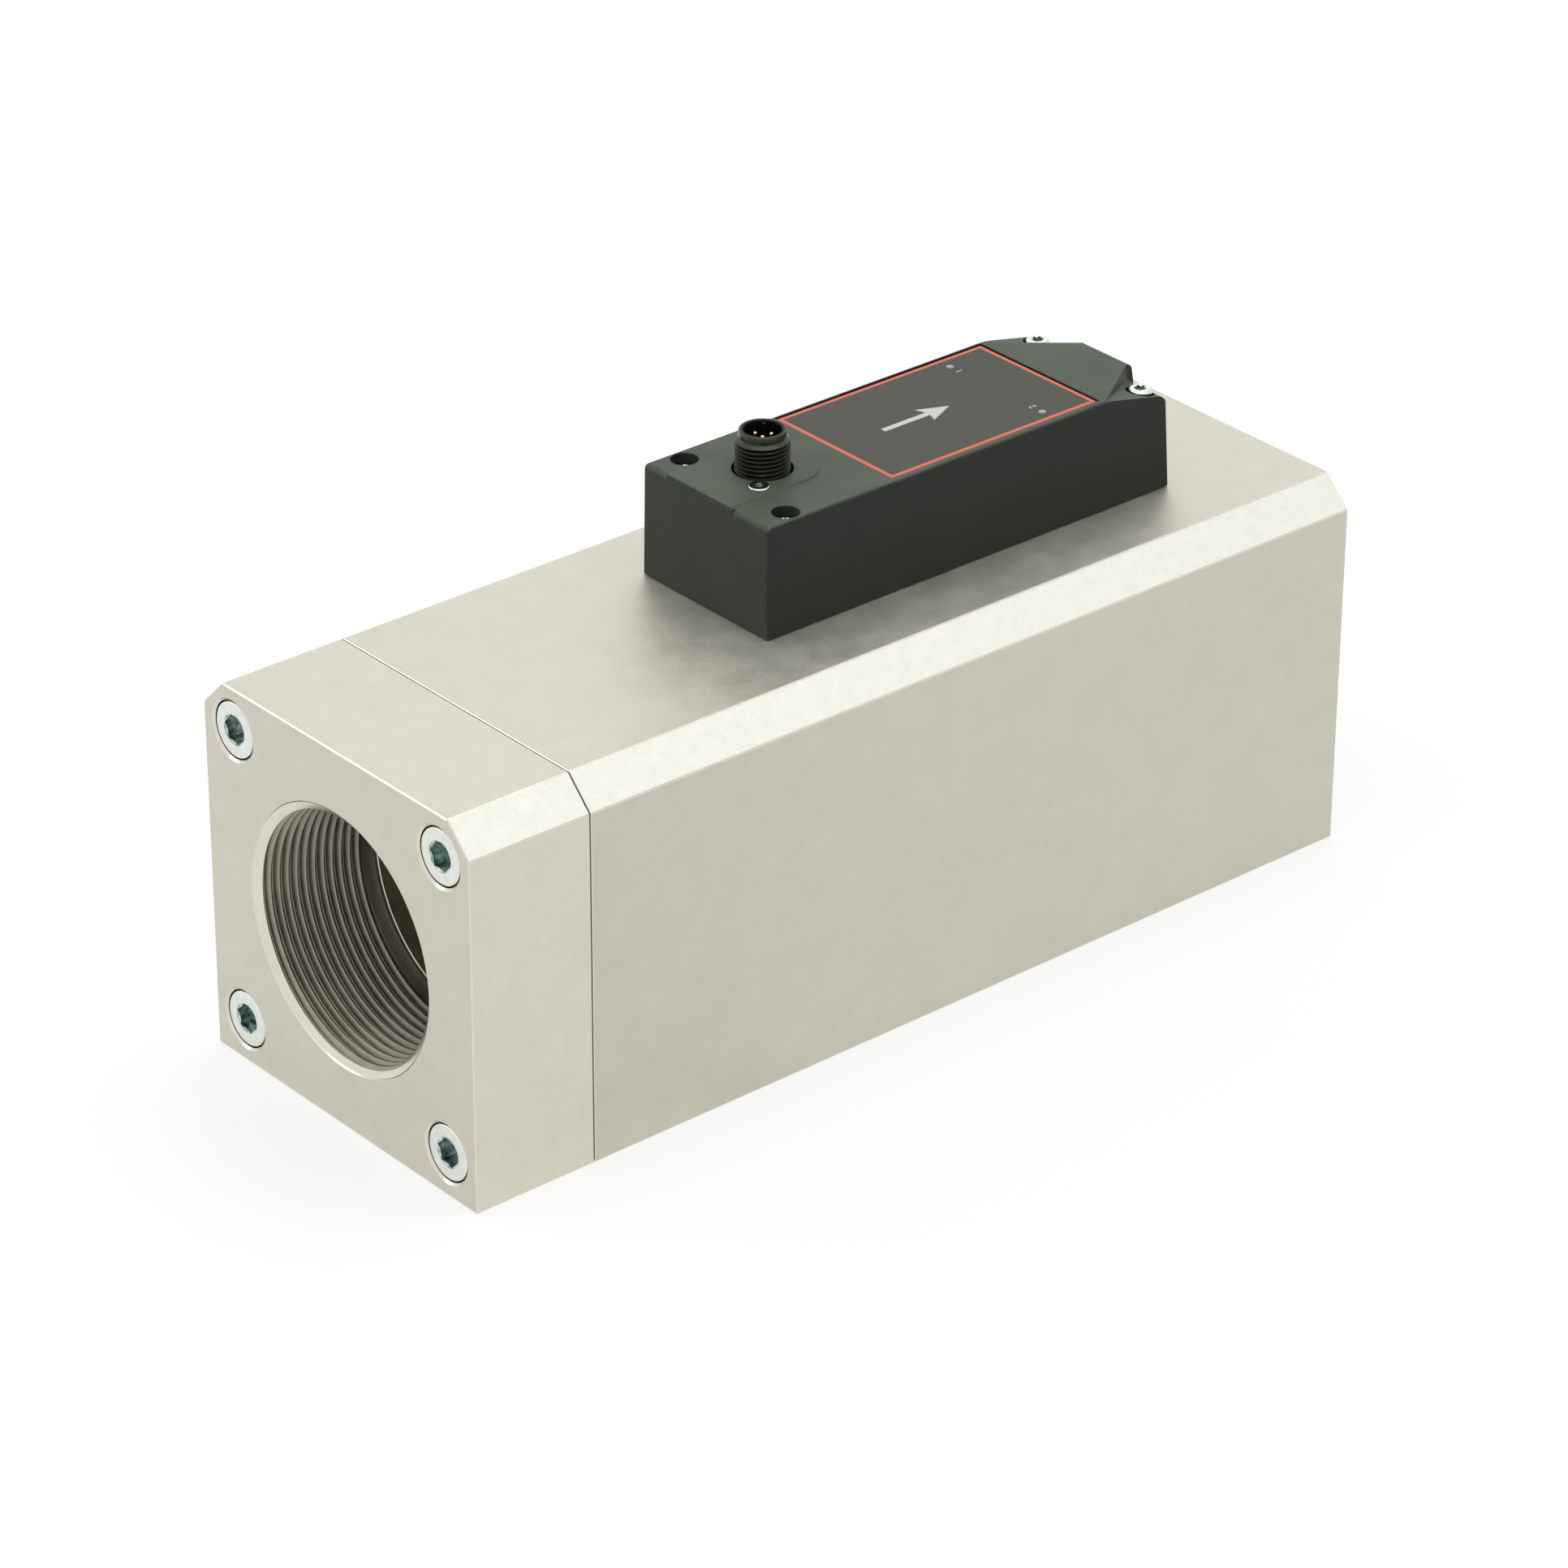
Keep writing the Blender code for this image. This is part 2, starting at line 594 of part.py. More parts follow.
def make_flange_seal(material):
    ring = ring_torus("flange_o_ring", FLANGE_SEAL_RADIUS, FLANGE_SEAL_SECTION, SEAL_FACETS, material)
    ring.rotation_euler = (0.0, math.pi / 2, 0.0)
    ring.location = (BODY_X + SIDE_GAP + FLANGE_SEAL_SECTION, 0.0, AXIS_Z)


def ring_torus(name, radius, section, facets, material):
    angles = [-i * 2 * math.pi / SEAL_SIDES for i in range(SEAL_SIDES)]
    round_section = [(radius + section * math.cos(angle), section * math.sin(angle)) for angle in angles]
    return turned(name, round_section, facets, closed=True, material=material)


def body_passage():
    """The whole flow passage of the main body as one turned cutter, from the outlet to the joint."""
    mouth = [(radius, BODY_LENGTH - height) for radius, height in reversed(port_profile())]
    ring_low = RETAINING_X - SIDE_GAP - BODY_X
    ring_high = RETAINING_X + RETAINING_WIDTH + SIDE_GAP - BODY_X
    groove = CHAMBER_RADIUS + RETAINING_GROOVE_DEPTH
    inside = [
        (THREAD_MINOR_RADIUS, BODY_LENGTH - THREAD_END),
        (FLOW_RADIUS, BODY_LENGTH - THREAD_END - OUTLET_TAPER),
        (FLOW_RADIUS, CHAMBER_LENGTH),
        (CHAMBER_RADIUS, CHAMBER_LENGTH),
        (CHAMBER_RADIUS, ring_high),
        (groove, ring_high),
        (groove, ring_low),
        (CHAMBER_RADIUS, ring_low),
        (CHAMBER_RADIUS, CHAMBER_CHAMFER),
        (CHAMBER_RADIUS + CHAMBER_CHAMFER, 0.0),
        (CHAMBER_RADIUS + CHAMBER_CHAMFER, -THROUGH),
        (0.0, -THROUGH),
    ]
    return along_flow(turned("body_passage_cut", mouth + inside, BORE_FACETS), BODY_X)


def cover_screw_places():
    xs = (COVER_X + COVER_SCREW_FRONT, COVER_END_X - COVER_SCREW_REAR)
    return [(x, y) for x in xs for y in (COVER_SCREW_HALF_SPACING, -COVER_SCREW_HALF_SPACING)]


def standoff_places():
    half_spacing = BOARD_HALF_WIDTH - STANDOFF_FROM_SIDE
    xs = (BOARD_X + STANDOFF_FROM_FRONT, BOARD_END_X - STANDOFF_FROM_REAR)
    return [(x, y) for x in xs for y in (half_spacing, -half_spacing)]


def probe_screw_places():
    return [(PROBE_X + PROBE_SCREW_OFFSET, 0.0), (PROBE_X - PROBE_SCREW_OFFSET, 0.0)]


def drill(made, name, places, radius, low_z, high_z, facets=SMALL_FACETS):
    """Cuts the same upright hole at each place."""
    for number, place in enumerate(places, 1):
        cut(made, rod(f"{name}_{number}", radius, low_z, high_z, facets, place))


def make_main_body(material):
    body = aluminium_block("main_body", BODY_X, BODY_LENGTH, material)
    cut(body, body_passage())
    half_groove = FLANGE_SEAL_SECTION + SIDE_GAP
    groove = turned(
        "flange_seal_cut",
        [
            (FLANGE_SEAL_RADIUS + half_groove, 2 * half_groove),
            (FLANGE_SEAL_RADIUS + half_groove, -THROUGH),
            (FLANGE_SEAL_RADIUS - half_groove, -THROUGH),
            (FLANGE_SEAL_RADIUS - half_groove, 2 * half_groove),
        ],
        SEAL_FACETS,
        closed=True,
    )
    cut(body, along_flow(groove, BODY_X))
    hole_end = BOLT_HEAD_SINK + BOLT_HEAD_LENGTH + BOLT_LENGTH - FLANGE_LENGTH - FACE_GAP + TIP_ROOM
    for number, (y, z) in enumerate(bolt_places(), 1):
        hole = rod(f"body_hole_cut_{number}", BOLT_RADIUS + SIDE_GAP, -THROUGH, hole_end, BOLT_FACETS)
        hole.rotation_euler = (0.0, math.pi / 2, 0.0)
        hole.location = (BODY_X + (hole_end - THROUGH) / 2, y, z)
        cut(body, hole)
    pocket = turned(
        "probe_pocket_cut",
        [
            (0.0, BLOCK_HEIGHT + THROUGH),
            (PROBE_FLANGE_RADIUS + SIDE_GAP, BLOCK_HEIGHT + THROUGH),
            (PROBE_FLANGE_RADIUS + SIDE_GAP, PROBE_SEAT_Z - FACE_GAP),
            (PROBE_STEM_RADIUS + SIDE_GAP, PROBE_SEAT_Z - FACE_GAP),
            (PROBE_STEM_RADIUS + SIDE_GAP, AXIS_Z),
            (0.0, AXIS_Z),
        ],
        BOLT_FACETS,
    )
    pocket.location.x = PROBE_X
    cut(body, pocket)
    top = BLOCK_HEIGHT + THROUGH
    tap_radius = SMALL_SCREW_RADIUS + SIDE_GAP
    probe_tap_end = PROBE_SCREW_Z - PROBE_SCREW_LENGTH - SMALL_TIP_ROOM
    drill(body, "probe_tap_cut", probe_screw_places(), tap_radius, probe_tap_end, top)
    stud_end = BLOCK_HEIGHT - STANDOFF_STUD - SMALL_TIP_ROOM
    drill(body, "standoff_tap_cut", standoff_places(), tap_radius, stud_end, top)
    cover_tap_end = BLOCK_HEIGHT - COVER_SCREW_BITE - SMALL_TIP_ROOM
    tap_radius = COVER_SCREW_RADIUS + SIDE_GAP
    drill(body, "cover_tap_cut", cover_screw_places(), tap_radius, cover_tap_end, top)
    return body


def cell_centres(spacing):
    """Places of a hexagonal grid, in as many rings round the middle one as the disc has room for."""
    rings = int((GRID_RADIUS - GRID_RIM - spacing / 2) / spacing)
    places = []
    for column in range(-rings, rings + 1):
        for row in range(-rings, rings + 1):
            if abs(column + row) <= rings:
                places.append((spacing * (column + row / 2), spacing * row * math.sqrt(3) / 2))
    return places


def hole_grid(name, places, outline, length):
    """One cutter holding a prism at each place."""
    mesh = bpy.data.meshes.new(name)
    shape = bmesh.new()
    for x, y in places:
        ends = []
        for z in (-length / 2, length / 2):
            ends.append([shape.verts.new((x + px, y + py, z)) for px, py in outline])
        bottom, top = ends
        shape.faces.new(reversed(bottom))
        shape.faces.new(top)
        for i in range(len(outline)):
            after = (i + 1) % len(outline)
            shape.faces.new((bottom[i], bottom[after], top[after], top[i]))
    shape.to_mesh(mesh)
    shape.free()
    return add_object(name, mesh)


def make_flow_conditioner(metal, steel):
    screen_half = SCREEN_LENGTH / 2
    screen = rod("screen_disc", GRID_RADIUS, -screen_half, screen_half, BORE_FACETS, material=steel)
    holes = hole_grid(
        "screen_cut",
        cell_centres(SCREEN_HOLE_SPACING),
        hexagon(2 * SCREEN_HOLE_RADIUS),
        SCREEN_LENGTH + 2 * THROUGH,
    )
    half = STRAIGHTENER_LENGTH / 2
    straightener = rod("flow_straightener", GRID_RADIUS, -half, half, BORE_FACETS, material=metal)
    cells = hole_grid(
        "cell_cut",
        cell_centres(STRAIGHTENER_CELL),
        hexagon(STRAIGHTENER_CELL - CELL_WEB, math.pi / HEXAGON_SIDES),
        STRAIGHTENER_LENGTH + 2 * THROUGH,
    )
    grids = (
        (screen, holes, SCREEN_X + screen_half),
        (straightener, cells, STRAIGHTENER_X + half),
    )
    for piece, cutter, x in grids:
        along_flow(piece, x)
        along_flow(cutter, x)
        cut(piece, cutter)
    ring = turned(
        "retaining_ring",
        [
            (CHAMBER_RADIUS + RETAINING_GROOVE_DEPTH - SIDE_GAP, RETAINING_WIDTH),
            (CHAMBER_RADIUS + RETAINING_GROOVE_DEPTH - SIDE_GAP, 0.0),
            (CHAMBER_RADIUS - RETAINING_REACH, 0.0),
            (CHAMBER_RADIUS - RETAINING_REACH, RETAINING_WIDTH),
        ],
        BORE_FACETS,
        closed=True,
        material=steel,
    )
    along_flow(ring, RETAINING_X)
    half_opening = RETAINING_OPENING / 2
    chamber_floor = AXIS_Z - CHAMBER_RADIUS
    opening = block(
        "retaining_opening_cut",
        (RETAINING_X - THROUGH, -half_opening, chamber_floor - RETAINING_GROOVE_DEPTH - THROUGH),
        (RETAINING_X + RETAINING_WIDTH + THROUGH, half_opening, chamber_floor + RETAINING_REACH + THROUGH),
    )
    cut(ring, opening)


def make_probe(plastic, rubber, steel):
    groove_radius = PROBE_STEM_RADIUS - 2 * PROBE_SEAL_SECTION
    groove_half = PROBE_SEAL_SECTION + SIDE_GAP
    seal_z = PROBE_SEAT_Z - PROBE_SEAL_DROP
    tip_z = AXIS_Z - PROBE_BELOW_AXIS
    probe = turned(
        "sensor_probe",
        [
            (0.0, PROBE_TOP_Z),
            (PROBE_FLANGE_RADIUS, PROBE_TOP_Z),
            (PROBE_FLANGE_RADIUS, PROBE_SEAT_Z),
            (PROBE_STEM_RADIUS, PROBE_SEAT_Z),
            (PROBE_STEM_RADIUS, seal_z + groove_half),
            (groove_radius - SIDE_GAP, seal_z + groove_half),
            (groove_radius - SIDE_GAP, seal_z - groove_half),
            (PROBE_STEM_RADIUS, seal_z - groove_half),
            (PROBE_STEM_RADIUS, tip_z + PROBE_TIP_CHAMFER),
            (PROBE_STEM_RADIUS - PROBE_TIP_CHAMFER, tip_z),
            (0.0, tip_z),
        ],
        BOLT_FACETS,
        material=plastic,
    )
    probe.location.x = PROBE_X
    slot_low = tip_z + PROBE_SLOT_RISE
    slot_reach = PROBE_STEM_RADIUS + THROUGH
    slot = block(
        "probe_slot_cut",
        (PROBE_X - slot_reach, -PROBE_SLOT_WIDTH / 2, slot_low),
        (PROBE_X + slot_reach, PROBE_SLOT_WIDTH / 2, slot_low + PROBE_SLOT_HEIGHT),
    )
    cut(probe, slot)
    places = probe_screw_places()
    head_floor = PROBE_SCREW_Z - FACE_GAP
    drill(probe, "probe_head_cut", places, PROBE_HEAD_ROOM, head_floor, COVER_BASE_Z + THROUGH)
    shank_room = SMALL_SCREW_RADIUS + SIDE_GAP
    drill(probe, "probe_shank_cut", places, shank_room, PROBE_SEAT_Z - THROUGH, PROBE_SCREW_Z)
    ring_radius = groove_radius + PROBE_SEAL_SECTION
    ring = ring_torus("probe_o_ring", ring_radius, PROBE_SEAL_SECTION, BOLT_FACETS, rubber)
    ring.location = (PROBE_X, 0.0, seal_z)
    for number, place in enumerate(places, 1):
        made = small_screw(f"probe_screw_{number}", PROBE_SCREW_LENGTH, steel)
        made.location = (*place, PROBE_SCREW_Z)
    block(
        "probe_header",
        (PROBE_X - HEADER_LENGTH / 2, -HEADER_WIDTH / 2, PROBE_TOP_Z + FACE_GAP),
        (PROBE_X + HEADER_LENGTH / 2, HEADER_WIDTH / 2, BOARD_Z - FACE_GAP),
        plastic,
    )


def small_screw(name, length, material):
    return screw(
        name,
        SMALL_SCREW_HEAD_RADIUS,
        SMALL_SCREW_HEAD_LENGTH,
        SMALL_SCREW_RADIUS,
        length,
        hexagon(SMALL_SCREW_KEY),
        SMALL_SCREW_KEY_DEPTH,
        SMALL_FACETS,
        material,
    )


def make_board(board_material, brass, steel):
    board = block(
        "circuit_board",
        (BOARD_X, -BOARD_HALF_WIDTH, BOARD_Z),
        (BOARD_END_X, BOARD_HALF_WIDTH, BOARD_TOP_Z),
        board_material,
    )
    hole = SMALL_SCREW_RADIUS + SIDE_GAP
    pin_hole = PIN_RADIUS + SIDE_GAP
    low = BOARD_Z - THROUGH
    high = BOARD_TOP_Z + THROUGH
    drill(board, "board_hole_cut", standoff_places(), hole, low, high)
    drill(board, "board_pin_cut", pin_places(), pin_hole, low, high, PIN_HOLE_FACETS)
    seat = BLOCK_HEIGHT + FACE_GAP
    top = BOARD_Z - FACE_GAP
    depth = BOARD_SCREW_LENGTH - BOARD_THICKNESS + SMALL_TIP_ROOM
    for number, place in enumerate(standoff_places(), 1):
        standoff = turned(
            f"board_standoff_{number}",
            [
                (0.0, top),
                (STANDOFF_RADIUS, top),
                (STANDOFF_RADIUS, seat),
                (SMALL_SCREW_RADIUS, seat),
                (SMALL_SCREW_RADIUS, BLOCK_HEIGHT - STANDOFF_STUD),
                (0.0, BLOCK_HEIGHT - STANDOFF_STUD),
            ],
            HEXAGON_SIDES,
            material=brass,
        )
        standoff.location = (*place, 0.0)
        drill(standoff, f"standoff_hole_cut_{number}", [place], hole, top - depth, top + THROUGH)
        made = small_screw(f"board_screw_{number}", BOARD_SCREW_LENGTH, steel)
        made.location = (*place, BOARD_TOP_Z + FACE_GAP)


def cover_shell_outline(inset):
    """Plan of the cover at its foot, drawn in by the inset."""
    low = (COVER_X + inset, -COVER_HALF_WIDTH + inset)
    high = (COVER_END_X - inset, COVER_HALF_WIDTH - inset)
    return low, high


def tapered_block(name, inset, low_z, high_z, material=None):
    """A block with the cover's plan and wall draft."""
    low, high = cover_shell_outline(inset)
    made = block(name, (*low, low_z), (*high, high_z), material)
    share = (high_z - COVER_BASE_Z) / COVER_HEIGHT
    for vertex in made.data.vertices:
        if vertex.co.z > (low_z + high_z) / 2:
            vertex.co.y -= math.copysign(COVER_SIDE_DRAFT * share, vertex.co.y)
            vertex.co.x += share * (COVER_FRONT_DRAFT if vertex.co.x < PROBE_X else -COVER_REAR_DRAFT)
    return made


def round_cover_edges(cover):
    """Bevel weights give each edge its own radius."""
    mesh = cover.data
    widest = COVER_FRONT_ROUND
    weights = mesh.attributes.new("bevel_weight_edge", "FLOAT", "EDGE")
    for edge in mesh.edges:
        first, second = (mesh.vertices[i].co for i in edge.vertices)
        middle = (first + second) / 2
        upright = abs(first.z - second.z) > COVER_HEIGHT / 2
        on_top = middle.z > COVER_TOP_Z - COVER_ROOF
        if upright:
            radius = COVER_UPRIGHT_ROUND
        elif not on_top:
            radius = 0.0
        elif abs(first.x - second.x) > COVER_LENGTH / 2:
            radius = COVER_SIDE_ROUND
        else:
            radius = COVER_FRONT_ROUND if middle.x < PROBE_X else COVER_REAR_ROUND
        weights.data[edge.index].value = radius / widest
    bevel = cover.modifiers.new("Rounded edges", "BEVEL")
    bevel.width = widest
    bevel.segments = ROUND_SEGMENTS
    bevel.limit_method = "WEIGHT"


def ledge_height(x):
    """Height of the lowered rear corners, at a distance behind the cover's front."""
    drop = LEDGE_SLOPE * (x - LEDGE_START)
    bend = max(0.0, x - LEDGE_BEND_START)
    return COVER_TOP_Z - drop - bend**2 / (2 * LEDGE_BEND_RADIUS)


def ledge_cutter():
    """Lowers both rear corners beside the raised middle of the top."""
    reach = COVER_LENGTH + THROUGH
    stretch = reach - LEDGE_BEND_START
    xs = [LEDGE_START] + [LEDGE_BEND_START + stretch * i / LEDGE_STEPS for i in range(LEDGE_STEPS + 1)]
    section = [(x, ledge_height(x)) for x in xs]
    section += [(reach, COVER_TOP_Z + THROUGH), (LEDGE_START, COVER_TOP_Z + THROUGH)]
    cutter = prism("ledge_cut", section, 2 * (COVER_HALF_WIDTH + THROUGH))
    upright = Matrix(((1, 0, 0), (0, 0, -1), (0, 1, 0))).to_4x4()
    cutter.data.transform(Matrix.Translation((COVER_X, 0, 0)) @ upright)
    ahead = LEDGE_START - THROUGH
    wide = LEDGE_TOP_HALF_WIDTH + (COVER_HALF_WIDTH - LEDGE_TOP_HALF_WIDTH) * (
        (LEDGE_TOP_END - ahead) / (LEDGE_TOP_END - LEDGE_START)
    )
    plan = [
        (ahead, wide),
        (ahead, -wide),
        (LEDGE_TOP_END, -LEDGE_TOP_HALF_WIDTH),
        (reach + THROUGH, -LEDGE_TOP_HALF_WIDTH),
        (reach + THROUGH, LEDGE_TOP_HALF_WIDTH),
        (LEDGE_TOP_END, LEDGE_TOP_HALF_WIDTH),
    ]
    raised = prism("raised_middle_cut", plan, 2 * COVER_HEIGHT)
    raised.data.transform(Matrix.Translation((COVER_X, 0, COVER_TOP_Z)))
    cut(cutter, raised)
    return cutter


def cable_pad_cutter():
    """A shallow pad with sloping rims round the connector, open to the front."""
    floor_low = (COVER_X - CONNECTOR_FROM_FRONT, CONNECTOR_OFFSET - CABLE_PAD_HALF_WIDTH)
    floor_high = (CONNECTOR_X + CABLE_PAD_BACK, CONNECTOR_OFFSET + CABLE_PAD_HALF_WIDTH)
    floor = rounded_rectangle(floor_low, floor_high, CABLE_PAD_CORNER)
    grow = CABLE_PAD_RIM * (CABLE_PAD_DEPTH + THROUGH) / CABLE_PAD_DEPTH
    rim = rounded_rectangle(
        (floor_low[0] - grow, floor_low[1] - grow),
        (floor_high[0] + grow, floor_high[1] + grow),
        CABLE_PAD_CORNER + grow,
    )
    return loft("cable_pad_cut", floor, CABLE_PAD_Z, rim, COVER_TOP_Z + THROUGH)


def label_box(name, grow, low_z, high_z, material=None):
    start = COVER_X + LABEL_START
    low = (start - grow, -LABEL_HALF_WIDTH - grow, low_z)
    high = (start + LABEL_LENGTH + grow, LABEL_HALF_WIDTH + grow, high_z)
    return block(name, low, high, material)


def led_places():
    x = COVER_X + LABEL_START + LABEL_LENGTH - LED_FROM_LABEL_END
    half_spacing = LABEL_HALF_WIDTH - LED_FROM_LABEL_SIDE
    return [(x, half_spacing), (x, -half_spacing)]


def gasket_ring(name, grow, low_z, high_z, material=None):
    """A rectangular ring just inside the cover's lip."""
    outer_low, outer_high = cover_shell_outline(GASKET_OUTER_LIP + SIDE_GAP - grow)
    inner_low, inner_high = cover_shell_outline(GASKET_OUTER_LIP + SIDE_GAP + GASKET_WIDTH + grow)
    ring = block(name, (*outer_low, low_z), (*outer_high, high_z), material)
    middle = block(name + "_middle", (*inner_low, low_z - THROUGH), (*inner_high, high_z + THROUGH))
    cut(ring, middle)
    return ring


def make_cover(material):
    cover = tapered_block("electronics_cover", 0.0, COVER_BASE_Z, COVER_TOP_Z, material)
    round_cover_edges(cover)
    cavity_low = COVER_BASE_Z - THROUGH
    above = COVER_TOP_Z + THROUGH
    cavity = tapered_block("cover_cavity_cut", COVER_WALL, cavity_low, ROOF_Z)
    drill(cavity, "column_cut", cover_screw_places(), COVER_COLUMN_RADIUS, cavity_low - THROUGH, COVER_TOP_Z)
    cut(cover, cavity, ledge_cutter(), cable_pad_cutter())
    pocket_floor = COVER_TOP_Z - LABEL_THICKNESS - FACE_GAP
    cut(cover, label_box("label_pocket_cut", SIDE_GAP, pocket_floor, above))
    for number, (x, y) in enumerate(cover_screw_places(), 1):
        hole = turned(
            f"cover_screw_cut_{number}",
            [
                (0.0, above),
                (COVER_COUNTERBORE_RADIUS, above),
                (COVER_COUNTERBORE_RADIUS, COVER_SEAT_Z),
                (COVER_SCREW_RADIUS + SIDE_GAP, COVER_SEAT_Z),
                (COVER_SCREW_RADIUS + SIDE_GAP, cavity_low),
                (0.0, cavity_low),
            ],
            BOLT_FACETS,
        )
        hole.location = (x, y, 0.0)
        cut(cover, hole)
    cut(cover, gasket_ring("gasket_cut", SIDE_GAP, cavity_low, COVER_BASE_Z + GASKET_HEIGHT + FACE_GAP))
    inside = ROOF_Z - THROUGH
    drill(cover, "connector_hole_cut", [CONNECTOR_PLACE], CONNECTOR_HOLE_RADIUS, inside, above, BOLT_FACETS)
    drill(cover, "connector_screw_cut", [connector_screw_place()], CONNECTOR_SCREW_HOLE, inside, above)
    drill(cover, "led_cut", led_places(), LED_RADIUS + SIDE_GAP, inside, COVER_TOP_Z)
    return cover


def make_gasket(material):
    gasket_ring("cover_gasket", 0.0, COVER_BASE_Z, COVER_BASE_Z + GASKET_HEIGHT, material)


def make_cover_screws(material):
    length = COVER_SEAT_Z + FACE_GAP - BLOCK_HEIGHT + COVER_SCREW_BITE
    for number, (x, y) in enumerate(cover_screw_places(), 1):
        made = screw(
            f"cover_screw_{number}",
            COVER_SCREW_HEAD_RADIUS,
            COVER_SCREW_HEAD_LENGTH,
            COVER_SCREW_RADIUS,
            length,
            six_lobes(COVER_SCREW_DRIVE_RADIUS, COVER_SCREW_DRIVE_WAIST),
            COVER_SCREW_DRIVE_DEPTH,
            SMALL_FACETS,
            material,
        )
        made.location = (x, y, COVER_SEAT_Z + FACE_GAP)


def make_label(plate_material, lens_material):
    low = COVER_TOP_Z - LABEL_THICKNESS
    plate = label_box("label_plate", 0.0, low, COVER_TOP_Z, plate_material)
    hole_radius = LED_RADIUS + SIDE_GAP
    drill(plate, "label_led_cut", led_places(), hole_radius, low - THROUGH, COVER_TOP_Z + THROUGH)
    lens_low = COVER_TOP_Z - LED_LENGTH
    for number, place in enumerate(led_places(), 1):
        name = f"led_window_{number}"
        rod(name, LED_RADIUS, lens_low, COVER_TOP_Z, SMALL_FACETS, place, lens_material)


def connector_screw_place():
    return (CONNECTOR_X - CONNECTOR_SCREW_OFFSET, CONNECTOR_OFFSET - CONNECTOR_SCREW_OFFSET)


def pin_places():
    """Four pins on a circle and one in the middle."""
    reach = PIN_CIRCLE_RADIUS
    offsets = [(reach, 0.0), (0.0, reach), (-reach, 0.0), (0.0, -reach), (0.0, 0.0)]
    return [(CONNECTOR_X + x, CONNECTOR_OFFSET + y) for x, y in offsets]


def make_connector_shell(material):
    """The threaded socket, the plate that holds it from inside and the key in the socket."""
    crest = CONNECTOR_THREAD_RADIUS
    root = crest - CONNECTOR_THREAD_DEPTH
    collar_z = CONNECTOR_TOP_Z - CONNECTOR_COLLAR_LENGTH
    thread_top = collar_z - CONNECTOR_THREAD_DEPTH
    first_ridge = thread_top - CONNECTOR_PITCH * (CONNECTOR_RIDGES - 0.5)
    ridges = thread_profile(root, crest, first_ridge, CONNECTOR_PITCH, CONNECTOR_RIDGES)
    collar = [
        (CONNECTOR_SOCKET_RADIUS, CONNECTOR_TOP_Z),
        (CONNECTOR_COLLAR_RADIUS - CONNECTOR_COLLAR_EDGE, CONNECTOR_TOP_Z),
        (CONNECTOR_COLLAR_RADIUS, CONNECTOR_TOP_Z - CONNECTOR_COLLAR_EDGE),
        (CONNECTOR_COLLAR_RADIUS, collar_z),
    ]
    foot = [
        (crest, CONNECTOR_PLATE_Z),
        (CONNECTOR_FOOT_RADIUS, CONNECTOR_PLATE_Z),
        (CONNECTOR_FOOT_RADIUS, CONNECTOR_FOOT_Z),
        (CONNECTOR_SOCKET_RADIUS, CONNECTOR_FOOT_Z),
    ]
    profile = collar + ridges[1:] + foot
    shell = turned("connector_shell", profile, CONNECTOR_FACETS, closed=True, material=material)
    shell.location = (*CONNECTOR_PLACE, 0.0)
    half = CONNECTOR_PLATE_HALF
    plate = block(
        "connector_plate",
        (CONNECTOR_X - half, CONNECTOR_OFFSET - half, CONNECTOR_PLATE_Z),
        (CONNECTOR_X + half, CONNECTOR_OFFSET + half, CONNECTOR_PLATE_TOP_Z),
    )
    mid_wall = (CONNECTOR_SOCKET_RADIUS + CONNECTOR_THREAD_RADIUS) / 2
    low = CONNECTOR_PLATE_Z - THROUGH
    drill(plate, "plate_cut", [CONNECTOR_PLACE], mid_wall, low, ROOF_Z, CONNECTOR_FACETS)
    join(shell, plate)
    key_floor = CONNECTOR_TOP_Z - CONNECTOR_SOCKET_DEPTH + FACE_GAP
    key = block(
        "connector_key",
        (CONNECTOR_SOCKET_RADIUS - KEY_REACH, -KEY_WIDTH / 2, key_floor),
        (CONNECTOR_COLLAR_RADIUS - CONNECTOR_COLLAR_WALL / 2, KEY_WIDTH / 2, CONNECTOR_TOP_Z - KEY_TOP_DROP),
    )
    key.rotation_euler.z = math.pi / 4
    key.location = (*CONNECTOR_PLACE, 0.0)
    join(shell, key)
    drill(shell, "plate_screw_cut", [connector_screw_place()], CONNECTOR_SCREW_HOLE, low, ROOF_Z)


def make_connector_insert(insert_material, pin_material):
    top = CONNECTOR_TOP_Z - CONNECTOR_SOCKET_DEPTH
    radius = CONNECTOR_SOCKET_RADIUS - SIDE_GAP
    low = CONNECTOR_FOOT_Z
    insert = rod("connector_insert", radius, low, top, CONNECTOR_FACETS, CONNECTOR_PLACE, insert_material)
    hole = PIN_RADIUS + SIDE_GAP
    drill(insert, "insert_pin_cut", pin_places(), hole, low - THROUGH, top + THROUGH, PIN_HOLE_FACETS)
    shoulder = CONNECTOR_TOP_Z - PIN_TIP_DROP - PIN_RADIUS
    quarter = [i * math.pi / 2 / PIN_TIP_STEPS for i in range(PIN_TIP_STEPS + 1)]
    tip = [(PIN_RADIUS * math.sin(angle), shoulder + PIN_RADIUS * math.cos(angle)) for angle in quarter]
    tail = BOARD_Z - PIN_TAIL
    for number, (x, y) in enumerate(pin_places(), 1):
        profile = tip + [(PIN_RADIUS, tail), (0.0, tail)]
        pin = turned(f"connector_pin_{number}", profile, SMALL_FACETS, material=pin_material)
        pin.location = (x, y, 0.0)


